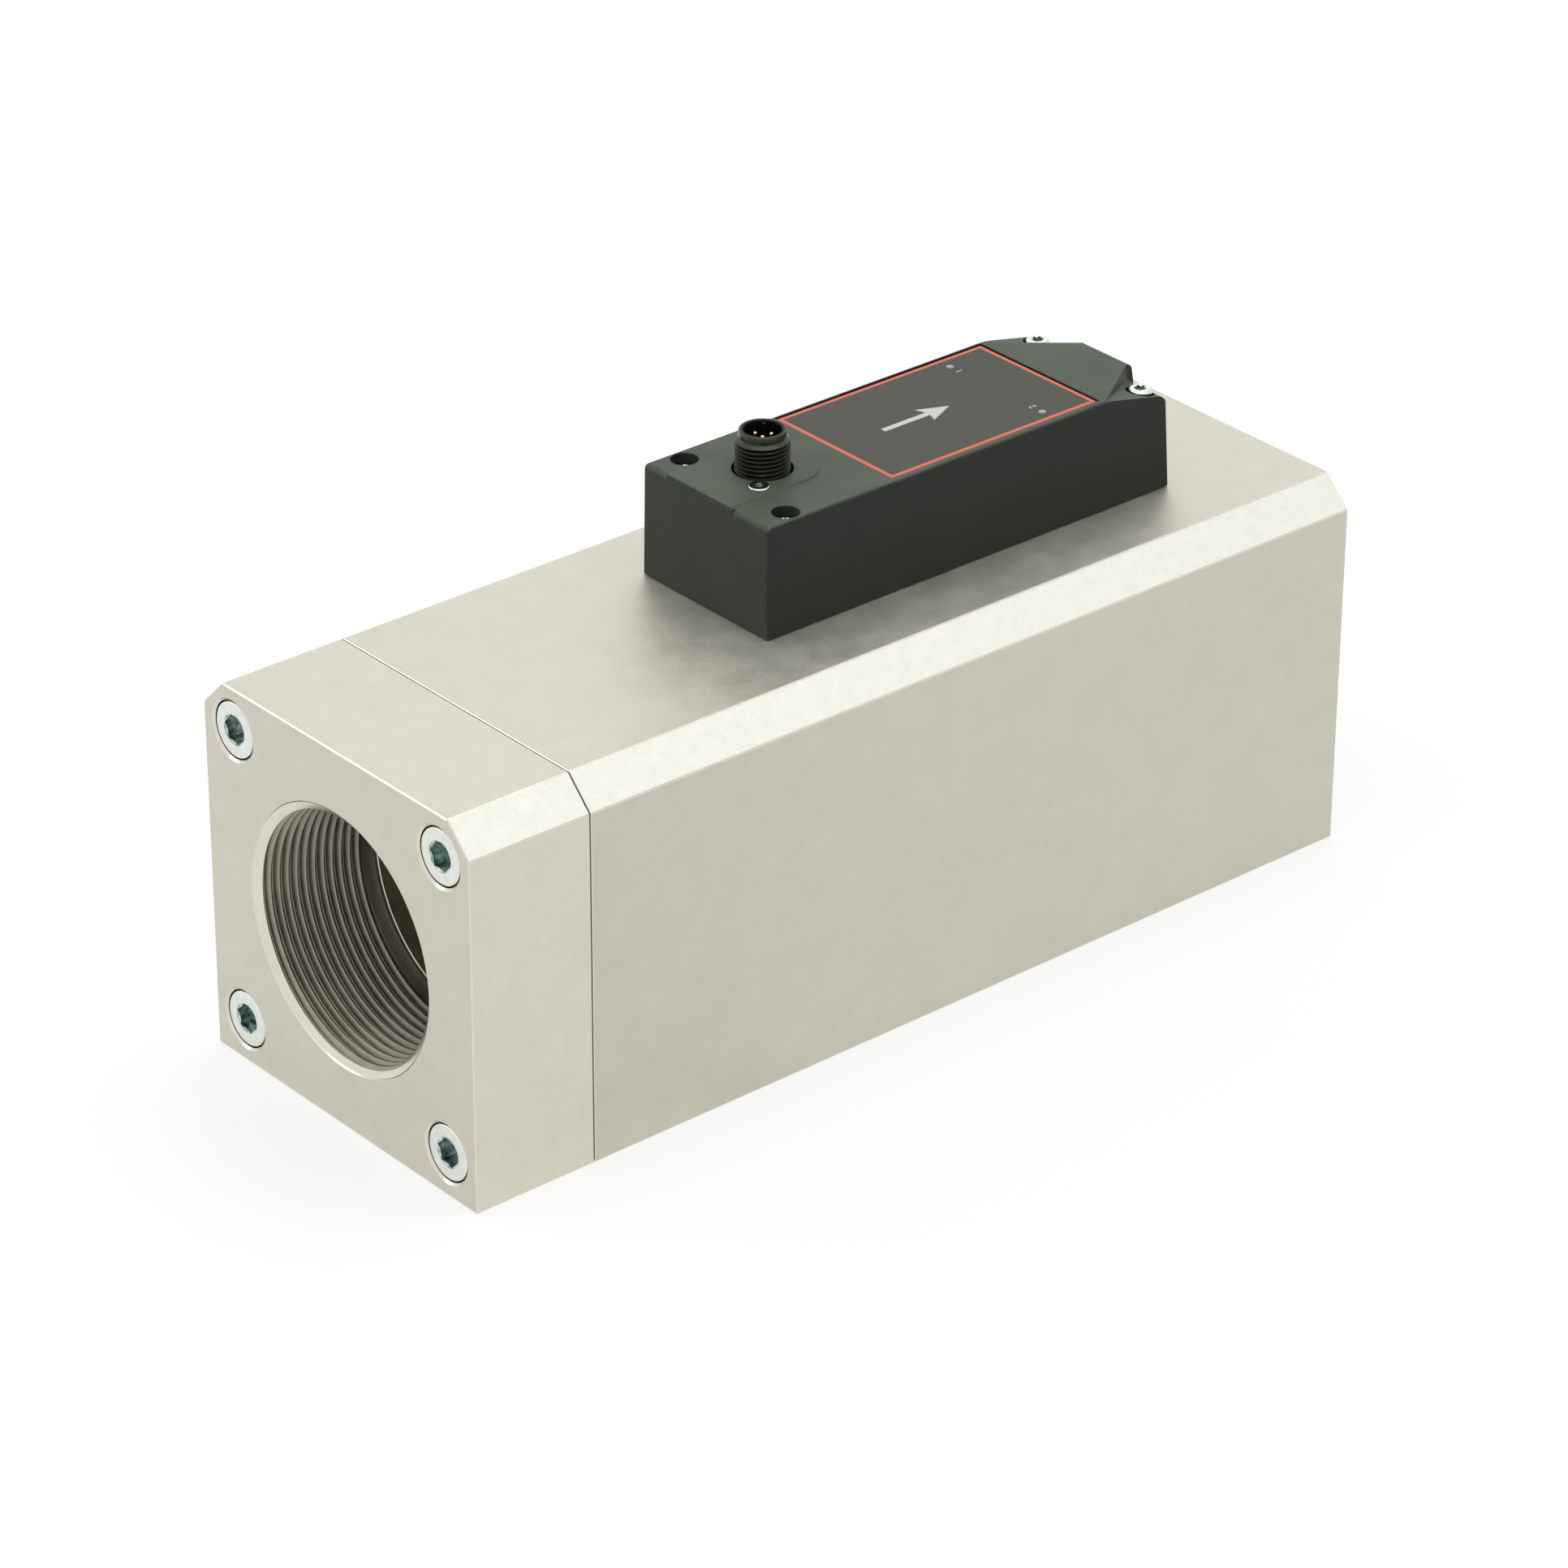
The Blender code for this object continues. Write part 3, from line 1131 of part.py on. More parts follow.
def make_connector_fixings(seal_material, screw_material):
    seal = ring_torus(
        "connector_seal", CONNECTOR_SEAL_RADIUS, CONNECTOR_SEAL_SECTION, CONNECTOR_FACETS, seal_material
    )
    seal.location = (*CONNECTOR_PLACE, (CONNECTOR_PLATE_TOP_Z + ROOF_Z) / 2)
    small = screw(
        "connector_screw",
        CONNECTOR_SCREW_HEAD_RADIUS,
        CONNECTOR_SCREW_HEAD_LENGTH,
        CONNECTOR_SCREW_RADIUS,
        CONNECTOR_SCREW_LENGTH,
        six_lobes(CONNECTOR_SCREW_DRIVE_RADIUS, CONNECTOR_SCREW_DRIVE_WAIST),
        CONNECTOR_SCREW_DRIVE_DEPTH,
        SMALL_FACETS,
        screw_material,
    )
    small.location = (*connector_screw_place(), CABLE_PAD_Z + FACE_GAP)


def main():
    start_scene()
    made = {name: finish_material(name, *values) for name, values in FINISHES.items()}
    aluminium = made["anodised aluminium"]
    rubber = made["black rubber"]
    steel = made["stainless steel"]
    zinc = made["zinc plated steel"]
    make_inlet_flange(aluminium)
    make_main_body(aluminium)
    make_flange_screws(zinc)
    make_flange_seal(rubber)
    make_flow_conditioner(made["drawn aluminium"], steel)
    make_probe(made["probe plastic"], rubber, steel)
    make_board(made["board laminate"], made["brass"], steel)
    make_cover(made["matt black plastic"])
    make_gasket(rubber)
    make_cover_screws(zinc)
    make_label(made["printed label"], made["lens"])
    make_connector_shell(made["black moulding"])
    make_connector_insert(made["connector insert"], made["gold plate"])
    make_connector_fixings(rubber, zinc)
    for part in bpy.data.collections["flow_meter"].objects:
        shade_round(part)


main()
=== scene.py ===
import math

import bmesh
import bpy
from mathutils import Matrix, Vector


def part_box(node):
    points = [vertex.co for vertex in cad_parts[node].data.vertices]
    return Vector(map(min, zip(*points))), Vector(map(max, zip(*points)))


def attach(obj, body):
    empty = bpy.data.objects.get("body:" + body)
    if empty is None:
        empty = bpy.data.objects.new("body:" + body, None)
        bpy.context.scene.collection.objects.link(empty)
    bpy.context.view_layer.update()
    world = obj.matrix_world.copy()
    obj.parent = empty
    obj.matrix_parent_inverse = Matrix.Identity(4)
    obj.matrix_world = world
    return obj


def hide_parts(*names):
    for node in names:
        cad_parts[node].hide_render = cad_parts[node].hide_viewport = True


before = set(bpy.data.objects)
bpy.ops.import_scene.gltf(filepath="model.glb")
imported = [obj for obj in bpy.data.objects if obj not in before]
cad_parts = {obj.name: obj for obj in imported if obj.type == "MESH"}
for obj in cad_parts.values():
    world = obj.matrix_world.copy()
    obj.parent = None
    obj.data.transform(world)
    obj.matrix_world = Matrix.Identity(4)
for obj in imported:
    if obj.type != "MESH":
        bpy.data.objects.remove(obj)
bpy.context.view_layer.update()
print("frame: %d nodes" % len(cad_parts))

# Every size in this file is in millimetres, and finishPiece brings a piece to metres.
mm = 0.001
fullTurn = 2 * math.pi
axisZ = 45.0
past = 2.0  # how far a cutter reaches beyond the face that it opens
upward = (0.0, 0.0, 1.0)
acrossFlow = Matrix(((0, 0, 1, 0), (1, 0, 0, 0), (0, 1, 0, 0), (0, 0, 0, 1)))  # X becomes Y, and Y becomes Z


class Sizes(dict):
    # a dictionary whose values can also be read with a dot
    __getattr__ = dict.__getitem__


def corners(node):
    low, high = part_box(node)
    return low / mm, high / mm


def nodeMiddle(node):
    low, high = corners(node)
    return (low.x + high.x) / 2, (low.y + high.y) / 2


def numbered(name, count):
    return ["%s_%d" % (name, number) for number in range(1, count + 1)]


inletX, jointX = (corner.x for corner in corners("inlet_flange"))
bodyX, outletX = (corner.x for corner in corners("main_body"))


# Nodes in few words, for finishes and for geometry alike

class Field:
    def __init__(self, wires, socket):
        self.wires, self.socket = wires, socket

    def __add__(self, other):
        return self.wires.maths("ADD", self, other)

    def __radd__(self, other):
        return self.wires.maths("ADD", other, self)

    def __sub__(self, other):
        return self.wires.maths("SUBTRACT", self, other)

    def __rsub__(self, other):
        return self.wires.maths("SUBTRACT", other, self)

    def __mul__(self, other):
        return self.wires.maths("MULTIPLY", self, other)

    def __truediv__(self, other):
        return self.wires.maths("DIVIDE", self, other)


class Wires:
    def __init__(self, tree):
        self.tree = tree

    def feed(self, socket, value):
        if isinstance(value, Field):
            self.tree.links.new(value.socket, socket)
        else:
            socket.default_value = value

    def put(self, kind, values=None, out=0, **settings):
        made = self.tree.nodes.new(kind)
        for name, value in settings.items():
            setattr(made, name, value)
        for name, value in (values or {}).items():
            self.feed(made.inputs[name], value)
        return Field(self, made.outputs[out])

    def maths(self, operation, first, second=0.0):
        return self.put("ShaderNodeMath", {0: first, 1: second}, operation=operation)

    def vector(self, x, y, z):
        return self.put("ShaderNodeCombineXYZ", {"X": x, "Y": y, "Z": z})

    def split(self, vector):
        made = self.tree.nodes.new("ShaderNodeSeparateXYZ")
        self.feed(made.inputs[0], vector)
        return [Field(self, socket) for socket in made.outputs]

    def choose(self, index, values):
        made = self.tree.nodes.new("GeometryNodeIndexSwitch")
        made.data_type = "FLOAT"
        while len(made.index_switch_items) < len(values):
            made.index_switch_items.new()
        self.feed(made.inputs["Index"], index)
        for i, value in enumerate(values):
            self.feed(made.inputs[i + 1], value)
        return Field(self, made.outputs[0])


# Objects and meshes

def newObject(name, data):
    made = bpy.data.objects.new(name, data)
    bpy.context.scene.collection.objects.link(made)
    return made


def baked(made):
    # the object's final shape as a plain mesh, in the object's stead
    graph = bpy.context.evaluated_depsgraph_get()
    final = made.evaluated_get(graph)
    mesh = bpy.data.meshes.new_from_object(final, preserve_all_data_layers=True, depsgraph=graph)
    bpy.data.objects.remove(made, do_unlink=True)
    return mesh


def meshFrom(shape):
    bmesh.ops.remove_doubles(shape, verts=shape.verts[:], dist=0.0001)
    bmesh.ops.recalc_face_normals(shape, faces=shape.faces[:])
    mesh = bpy.data.meshes.new("shape")
    shape.to_mesh(mesh)
    shape.free()
    return mesh


def carve(mesh, *cutters, operation="DIFFERENCE"):
    # cuts each cutter mesh out of the mesh, one after another
    made = newObject("carved", mesh)
    tools = [newObject("cutter", cutter) for cutter in cutters]
    for tool in tools:
        change = made.modifiers.new("cut", "BOOLEAN")
        change.operation, change.solver, change.object = operation, "MANIFOLD", tool
    result = baked(made)
    for tool in tools:
        bpy.data.objects.remove(tool, do_unlink=True)
    return result


def moved(mesh, matrix):
    mesh.transform(matrix)
    return mesh


def rightHanded(mesh):
    # the spiral grows left-handed, so a thread's groove is mirrored and its faces turned outward again
    mesh.transform(Matrix.Scale(-1.0, 4, (1.0, 0.0, 0.0)))
    mesh.flip_normals()
    return mesh


def alongFlow(x, y=0.0, z=axisZ):
    # lays what was made upright along the bore, its foot at x
    return Matrix.Translation((x, y, z)) @ Matrix.Rotation(math.pi / 2, 4, "Y")


def againstFlow(x):
    return Matrix.Translation((x, 0.0, axisZ)) @ Matrix.Rotation(-math.pi / 2, 4, "Y")


def quarterRound(steps):
    # (sine, cosine) pairs from nothing to a quarter turn
    angles = [i / steps * math.pi / 2 for i in range(steps + 1)]
    return [(math.sin(angle), math.cos(angle)) for angle in angles]


def skin(shape, rings, closed=False):
    # faces between neighbouring rings; a corner that two rings share is used once
    pairs = list(zip(rings, rings[1:])) + ([(rings[-1], rings[0])] if closed else [])
    for low, high in pairs:
        for i in range(len(low)):
            after = (i + 1) % len(low)
            shape.faces.new(list(dict.fromkeys((low[i], low[after], high[after], high[i]))))


def turned(profile, facets, place=(0.0, 0.0), closed=False):
    # turns (radius, height) points about Z
    shape = bmesh.new()
    circle = [(math.cos(i * fullTurn / facets), math.sin(i * fullTurn / facets)) for i in range(facets)]
    rings = []
    for radius, height in profile:
        if radius < 0.001:
            rings.append([shape.verts.new((0.0, 0.0, height))] * facets)
        else:
            rings.append([shape.verts.new((radius * x, radius * y, height)) for x, y in circle])
    skin(shape, rings, closed)
    return moved(meshFrom(shape), Matrix.Translation((*place, 0.0)))


def rod(radius, low, high, facets, place=(0.0, 0.0)):
    return turned([(0.0, low), (radius, low), (radius, high), (0.0, high)], facets, place)


def capped(rings):
    # a skin over rings with as many points each, closed at both ends
    shape = bmesh.new()
    made = [[shape.verts.new(point) for point in ring] for ring in rings]
    shape.faces.new(made[0])
    shape.faces.new(made[-1])
    skin(shape, made)
    return meshFrom(shape)


def stack(levels):
    # outlines in the XY plane, each at its own height
    return capped([[(x, y, z) for x, y in outline] for outline, z in levels])


def prism(outline, low, high):
    return stack([(outline, low), (outline, high)])


def box(low, high):
    (x1, y1, z1), (x2, y2, z2) = low, high
    return prism([(x1, y1), (x2, y1), (x2, y2), (x1, y2)], z1, z2)


def roundedOutline(low, high, radius, steps):
    (lowX, lowY), (highX, highY) = low, high
    centres = [(highX - radius, highY - radius), (lowX + radius, highY - radius),
               (lowX + radius, lowY + radius), (highX - radius, lowY + radius)]
    points = []
    for corner, (x, y) in enumerate(centres):
        for step in range(steps + 1):
            angle = (corner + step / steps) * math.pi / 2
            points.append((x + radius * math.cos(angle), y + radius * math.sin(angle)))
    return points


def inset(outline, amount):
    # moves every side of a convex outline inwards
    count = len(outline)
    points = []
    for i in range(count):
        before, here, after = (Vector(outline[j % count]) for j in (i - 1, i, i + 1))
        first, second = (here - before).normalized(), (after - here).normalized()
        middle = Vector((-first.y, first.x)) + Vector((-second.y, second.x))
        points.append(tuple(here + middle * amount / (1.0 + first.dot(second))))
    return points


def markSharp(mesh, limit, boreLimit):
    # edges past the limit stay sharp, with a wider limit between like faces of bores and mouths
    shape = bmesh.new()
    shape.from_mesh(mesh)
    for edge in shape.edges:
        kinds = [face.material_index for face in edge.link_faces]
        bored = all(kind in (2, 4, 5) for kind in kinds) and len(set(kinds)) == 1
        widest = math.radians(boreLimit if bored else limit)
        edge.smooth = len(edge.link_faces) == 2 and edge.calc_face_angle(0.0) < widest
    shape.to_mesh(mesh)
    shape.free()


def finishPiece(name, mesh, keys, nodes, slot, sharp=38.0, boreSharp=None, weighted=False, flat=()):
    # the mesh goes to metres, gets its finishes and its soft or sharp edges, and rides on the body
    mesh.name = name
    mesh.transform(Matrix.Scale(mm, 4))
    while len(mesh.materials) < len(keys):
        mesh.materials.append(None)
    for i, key in enumerate(keys):
        mesh.materials[i] = finishes[key]
    mesh.shade_smooth()
    markSharp(mesh, sharp, boreSharp or sharp)
    for face in mesh.polygons:
        face.use_smooth = face.material_index not in flat
    made = newObject(name, mesh)
    if weighted:
        change = made.modifiers.new("weigh", "WEIGHTED_NORMAL")
        change.keep_sharp = True
        change.weight = 50
        mesh = baked(made)
        mesh.name = name
        made = newObject(name, mesh)
    if nodes:
        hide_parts(*nodes)
    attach(made, "root")
    print("%s: %d faces" % (name, len(mesh.polygons)))


# Geometry trees: named inputs for the sizes, the same keys as in each piece's dictionary

def newTree(name, sizes, finishInputs):
    tree = bpy.data.node_groups.new(name, "GeometryNodeTree")
    tree.interface.new_socket("geometry", in_out="INPUT", socket_type="NodeSocketGeometry")
    for key, value in sizes.items():
        kind = {int: "NodeSocketInt", float: "NodeSocketFloat", tuple: "NodeSocketVector"}[type(value)]
        tree.interface.new_socket(key, in_out="INPUT", socket_type=kind).default_value = value
    for key in finishInputs:
        tree.interface.new_socket(key, in_out="INPUT", socket_type="NodeSocketMaterial")
    tree.interface.new_socket("geometry", in_out="OUTPUT", socket_type="NodeSocketGeometry")
    wires = Wires(tree)
    entry = tree.nodes.new("NodeGroupInput")
    return wires, Sizes({socket.name: Field(wires, socket) for socket in entry.outputs if socket.name})


def endTree(wires, geometry):
    wires.feed(wires.tree.nodes.new("NodeGroupOutput").inputs[0], geometry)
    return wires.tree


def position(wires):
    return wires.split(wires.put("GeometryNodeInputPosition"))


def cutAway(wires, body, tool):
    made = wires.tree.nodes.new("GeometryNodeMeshBoolean")
    made.operation, made.solver = "DIFFERENCE", "MANIFOLD"
    wires.feed(made.inputs[0], body)
    wires.feed(made.inputs[1], tool)
    return Field(wires, made.outputs[0])


def lathe(wires, profile, facets):
    # a grid whose rows become the (radius, height) points and whose columns go round the axis
    rows = len(profile)
    counts = {"Size X": 1.0, "Size Y": 1.0, "Vertices X": facets + 1, "Vertices Y": rows}
    grid = wires.put("GeometryNodeMeshGrid", counts)
    index = wires.put("GeometryNodeInputIndex")
    row = wires.maths("MODULO", index, float(rows))
    angle = wires.maths("FLOOR", (index + 0.5) / float(rows)) * fullTurn / facets
    radius = wires.choose(row, [point[0] for point in profile])
    height = wires.choose(row, [point[1] for point in profile])
    place = wires.vector(radius * wires.maths("COSINE", angle), radius * wires.maths("SINE", angle), height)
    placed = wires.put("GeometryNodeSetPosition", {"Geometry": grid, "Position": place})
    merged = wires.put("GeometryNodeMergeByDistance", {"Geometry": placed, "Distance": 0.001})
    return wires.put("GeometryNodeFlipFaces", {"Mesh": merged})


def recessPrism(wires, given, low, high):
    # its radius swings between the outer one and the waist as many times as it has lobes
    sides = {"Vertices": given.recessFacets, "Radius": 1.0, "Depth": 1.0}
    grid = wires.put("GeometryNodeMeshCylinder", sides)
    x, y, z = position(wires)
    angle = wires.maths("ARCTAN2", y, x)
    swing = (wires.maths("COSINE", angle * given.recessLobes) + 1.0) * 0.5
    radius = given.recessWaist + (given.recessRadius - given.recessWaist) * swing
    place = wires.vector(x * radius, y * radius, low + (z + 0.5) * (high - low))
    return wires.put("GeometryNodeSetPosition", {"Geometry": grid, "Position": place})


def setFinish(wires, geometry, finish, selection=True):
    values = {"Geometry": geometry, "Selection": selection, "Material": finish}
    return wires.put("GeometryNodeSetMaterial", values)


def axisTurn(wires, angle):
    return wires.put("FunctionNodeAxisAngleToRotation", {"Axis": upward, "Angle": angle})


def standAtPlaces(wires, given, piece):
    # the points carry each piece's own turn, and its head looks along the named direction
    upright = wires.put("FunctionNodeAlignRotationToVector", {"Vector": given.direction}, axis="Z")
    spin = axisTurn(wires, wires.put("GeometryNodeInputNamedAttribute", {"Name": "turn"}, data_type="FLOAT"))
    both = {"Rotation": upright, "Rotate By": spin}
    rotation = wires.put("FunctionNodeRotateRotation", both, rotation_space="LOCAL")
    values = {"Points": given.geometry, "Instance": piece, "Rotation": rotation}
    placed = wires.put("GeometryNodeInstanceOnPoints", values)
    return wires.put("GeometryNodeRealizeInstances", {"Geometry": placed})


def screwTree(sizes):
    wires, given = newTree("screws", sizes, ("finish", "recessFinish"))
    head, top, edge, dome = given.headRadius, given.headLength, given.headEdge, given.headDome
    shank, length = given.shankRadius, given.shankLength
    tip = shank * 0.3
    profile = [(0.0, 0.0 - length), (shank - tip, 0.0 - length), (shank, tip - length), (shank, -0.15)]
    profile += [(shank + 0.12, 0.0), (head - 0.12, 0.0), (head, 0.12)]
    rim = top - dome
    profile += [(head - edge * (1 - cosine), rim - edge * (1 - sine)) for sine, cosine in quarterRound(5)]
    profile += [((head - edge) * share, top - dome * share * share) for share in (0.75, 0.5, 0.25, 0.0)]
    body = lathe(wires, profile, given.facets)
    floor = top - given.recessDepth
    recess = recessPrism(wires, given, floor, top + 1.0)
    # a shallow cone opens the recess at the face
    mouth, depth = given.mouthRadius, given.mouthDepth
    radii = {"Radius Top": mouth + 0.8, "Radius Bottom": mouth - depth * 1.6}
    cone = wires.put("GeometryNodeMeshCone", {"Vertices": given.facets, "Depth": depth + 0.5, **radii})
    lift = wires.vector(0.0, 0.0, top - depth)
    cone = wires.put("GeometryNodeTransform", {"Geometry": cone, "Translation": lift})
    single = cutAway(wires, cutAway(wires, body, recess), cone)
    x, y, z = position(wires)
    within = wires.maths("LESS_THAN", wires.maths("SQRT", x * x + y * y), given.recessRadius * 1.02)
    below = wires.maths("LESS_THAN", z, top - dome - 0.03)
    above = wires.maths("GREATER_THAN", z, floor - 0.02)
    values = {"Geometry": single, "Name": "recess", "Value": within * below * above}
    marked = wires.put("GeometryNodeStoreNamedAttribute", values, data_type="BOOLEAN", domain="FACE")
    inRecess = wires.put("GeometryNodeInputNamedAttribute", {"Name": "recess"}, data_type="BOOLEAN")
    real = setFinish(wires, standAtPlaces(wires, given, marked), given.finish)
    # the recess gets its own finish of painted shade and glints
    return endTree(wires, setFinish(wires, real, given.recessFinish, inRecess))


def pinTree(sizes):
    wires, given = newTree("contactPins", sizes, ("finish",))
    radius, length = given.pinRadius, given.pinLength
    profile = [(0.0, 0.0 - length), (radius, 0.0 - length)]
    profile += [(radius * cosine, radius * (sine - 1)) for sine, cosine in quarterRound(5)]
    real = standAtPlaces(wires, given, lathe(wires, profile, given.facets))
    return endTree(wires, setFinish(wires, real, given.finish))


def threadTree(sizes):
    # the groove's section, given as an edge loop, follows a spiral and runs out to nothing at its end
    wires, given = newTree("threadGroove", sizes, ("finish",))
    values = {
        "Resolution": given.stepsPerTurn,
        "Rotations": given.turns,
        "Start Radius": given.radius,
        "End Radius": given.radius,
        "Height": given.pitch * given.turns,
    }
    path = wires.put("GeometryNodeCurveSpiral", values)
    level = wires.put("GeometryNodeSetCurveNormal", {"Curve": path}, mode="Z_UP")
    along = wires.put("GeometryNodeSplineParameter") * given.turns
    fadeIn = wires.maths("MINIMUM", (along + 0.001) / given.runIn, 1.0)
    fadeOut = wires.maths("MINIMUM", (given.turns - along + 0.001) / given.runOut, 1.0)
    section = wires.put("GeometryNodeMeshToCurve", {"Mesh": given.geometry})
    values = {"Curve": level, "Profile Curve": section, "Scale": fadeIn * fadeOut, "Fill Caps": True}
    swept = wires.put("GeometryNodeCurveToMesh", values)
    real = wires.put("GeometryNodeRealizeInstances", {"Geometry": swept})
    return endTree(wires, setFinish(wires, real, given.finish))


def gridTree(sizes):
    # a disc with holes on a honeycomb pattern, in whole rings round the middle one
    wires, given = newTree("perforatedDisc", sizes, ("finish",))
    rings, pitch = given.rings, given.holePitch
    count = rings * 2.0 + 1.0
    values = {"Size X": 1.0, "Size Y": 1.0, "Vertices X": count, "Vertices Y": count}
    points = wires.put("GeometryNodeMeshGrid", values)
    index = wires.put("GeometryNodeInputIndex")
    column = wires.maths("FLOOR", (index + 0.5) / count) - rings
    row = wires.maths("MODULO", index, count) - rings
    outside = wires.maths("GREATER_THAN", wires.maths("ABSOLUTE", column + row), rings + 0.5)
    place = wires.vector((column + row * 0.5) * pitch, row * pitch * (math.sqrt(3) / 2), 0.0)
    points = wires.put("GeometryNodeSetPosition", {"Geometry": points, "Position": place})
    values = {"Geometry": points, "Selection": outside}
    kept = wires.put("GeometryNodeDeleteGeometry", values, domain="POINT")
    values = {"Vertices": 6, "Radius": given.holeRadius, "Depth": given.thickness * 2.0}
    hole = wires.put("GeometryNodeMeshCylinder", values)
    values = {"Points": kept, "Instance": hole, "Rotation": axisTurn(wires, given.holeTurn)}
    holes = wires.put("GeometryNodeInstanceOnPoints", values)
    holes = wires.put("GeometryNodeRealizeInstances", {"Geometry": holes})
    values = {"Vertices": 120, "Radius": given.discRadius, "Depth": given.thickness}
    disc = wires.put("GeometryNodeMeshCylinder", values)
    real = wires.put("GeometryNodeRealizeInstances", {"Geometry": cutAway(wires, disc, holes)})
    return endTree(wires, setFinish(wires, real, given.finish))


def grow(name, tree, base, sizes, **keys):
    # runs a tree on the base mesh and returns the plain mesh that comes out
    source = newObject(name, base)
    modifier = source.modifiers.new("grow", "NODES")
    modifier.node_group = tree
    values = dict(sizes, **{socket: finishes[key] for socket, key in keys.items()})
    for socket in tree.interface.items_tree:
        if socket.in_out == "INPUT" and socket.name in values:
            modifier[socket.identifier] = values[socket.name]
    return baked(source)


def pointMesh(places, turns):
    mesh = bpy.data.meshes.new("places")
    mesh.from_pydata(places, [], [])
    mesh.attributes.new("turn", "FLOAT", "POINT").data.foreach_set("value", turns)
    return mesh


def threadGroove(section, sizes):
    # the section's points are (outwards, along), but the sweep's first axis points at the spiral's middle
    points = [(-x, y, 0.0) for x, y in reversed(section)]
    mesh = bpy.data.meshes.new("section")
    mesh.from_pydata(points, [(i, (i + 1) % len(points)) for i in range(len(points))], [])
    return rightHanded(grow("threadGroove", threads, mesh, sizes))


# Finishes: one dictionary each, and one function that wires them

def mixColours(wires, share, first, second):
    made = wires.tree.nodes.new("ShaderNodeMix")
    made.data_type = "RGBA"
    wires.feed(made.inputs[0], share)
    for socket, value in ((made.inputs[6], first), (made.inputs[7], second)):
        wires.feed(socket, value if isinstance(value, Field) else (*value, 1.0))
    return Field(wires, made.outputs[2])


def mapped(wires, value, start, full, low=0.0, high=1.0):
    values = {"Value": value, "From Min": start, "From Max": full, "To Min": low, "To Max": high}
    return wires.put("ShaderNodeMapRange", values)


def patternSpot(wires, scale, turn=(0, 0, 0)):
    # the place on the piece, in steps of the scale given in millimetres
    values = {
        "Vector": wires.put("ShaderNodeTexCoord", out=3),
        "Rotation": tuple(math.radians(angle) for angle in turn),
        "Scale": tuple(size * mm for size in scale),
    }
    return wires.put("ShaderNodeMapping", values, vector_type="TEXTURE")


def surfaceNormal(wires):
    return wires.put("ShaderNodeNewGeometry", out=1)


def facingGain(wires, steps):
    # painted light: faces that look along an axis are made brighter, as if more light fell on them: (axis,
    # where it starts, where it is full, how much)
    facing = wires.split(surfaceNormal(wires))
    gain = 1.0
    for axis, start, full, much in steps:
        gain = mapped(wires, facing[axis], start, full) * (much - 1.0) + gain
    return gain


# convex edges are made paler: partly worn edges, partly a painted highlight
def rubbedEdges(wires, look, colour, blotch):
    worn = wires.put("ShaderNodeBevel", {"Radius": look["edgeWidth"] * mm}, samples=6)
    values = {0: worn, 1: surfaceNormal(wires)}
    likeness = wires.put("ShaderNodeVectorMath", values, out=1, operation="DOT_PRODUCT")
    wearAndHighlight = mapped(wires, likeness + (blotch - 0.5) * 0.1, 0.97, 0.75)
    return mixColours(wires, wearAndHighlight * look["edgeShare"], colour, look["edge"])


def finishColour(wires, look, grain, blotch):
    share = look.get("grainShare", 0.5)
    mixed = mapped(wires, grain * share + blotch * (1.0 - share), 0.36, 0.64)
    colour = mixColours(wires, mixed, look["dark"], look["light"])
    # painted light: faces turned up, sideways or to the front are made brighter, as if lit more
    if "paintedLightByFacing" in look:
        values = {0: colour, "Scale": facingGain(wires, look["paintedLightByFacing"])}
        colour = wires.put("ShaderNodeVectorMath", values, operation="SCALE")
    return rubbedEdges(wires, look, colour, blotch) if "edge" in look else colour


def finishRelief(wires, look, grain):
    relief = {"Strength": 1.0, "Distance": look["bump"] * mm, "Height": grain}
    if "rings" in look:
        # the fine rings that a lathe tool leaves along the bore
        values = {"Vector": patternSpot(wires, (look["rings"],) * 3), "Scale": 1.0, "Distortion": 0.6}
        relief["Height"] = grain * 0.4 + wires.put("ShaderNodeTexWave", values, out=1) * 0.6
    if "grainSides" in look:
        # the grain shows on the two long sides, and only faintly on the other faces
        sideways = wires.maths("ABSOLUTE", wires.split(surfaceNormal(wires))[1])
        relief["Strength"] = mapped(wires, sideways, 0.3, 0.9, look["grainSides"], 1.0)
    if "soften" in look:
        relief["Normal"] = wires.put("ShaderNodeBevel", {"Radius": look["soften"] * mm}, samples=6)
    return wires.put("ShaderNodeBump", relief)


def makeFinish(name, look):
    made = bpy.data.materials.new(name)
    made.use_nodes = True
    made.diffuse_color = (*look["light"], 1.0)
    wires = Wires(made.node_tree)
    shader = made.node_tree.nodes["Principled BSDF"]
    sockets = {"metallic": "Metallic", "specular": "Specular IOR Level", "coat": "Coat Weight"}
    for key, socket in sockets.items():
        if key in look:
            shader.inputs[socket].default_value = look[key]
    if "tint" in look:
        shader.inputs["Specular Tint"].default_value = (*look["tint"], 1.0)
    grainSpot = patternSpot(wires, look["grain"], look.get("grainTurn", (0, 0, 0)))
    values = {"Vector": grainSpot, "Scale": 1.0, "Detail": 3.0, "Roughness": 0.6}
    grain = wires.put("ShaderNodeTexNoise", values)
    blotchSpot = patternSpot(wires, (look["blotch"],) * 3)
    values = {"Vector": blotchSpot, "Scale": 1.0, "Detail": 4.0, "Roughness": 0.62}
    blotch = wires.put("ShaderNodeTexNoise", values)
    rough = mapped(wires, grain * 0.6 + blotch * 0.4, 0.36, 0.64, *look["rough"])
    wires.feed(shader.inputs["Base Color"], finishColour(wires, look, grain, blotch))
    wires.feed(shader.inputs["Roughness"], rough)
    wires.feed(shader.inputs["Normal"], finishRelief(wires, look, grain))
    return made


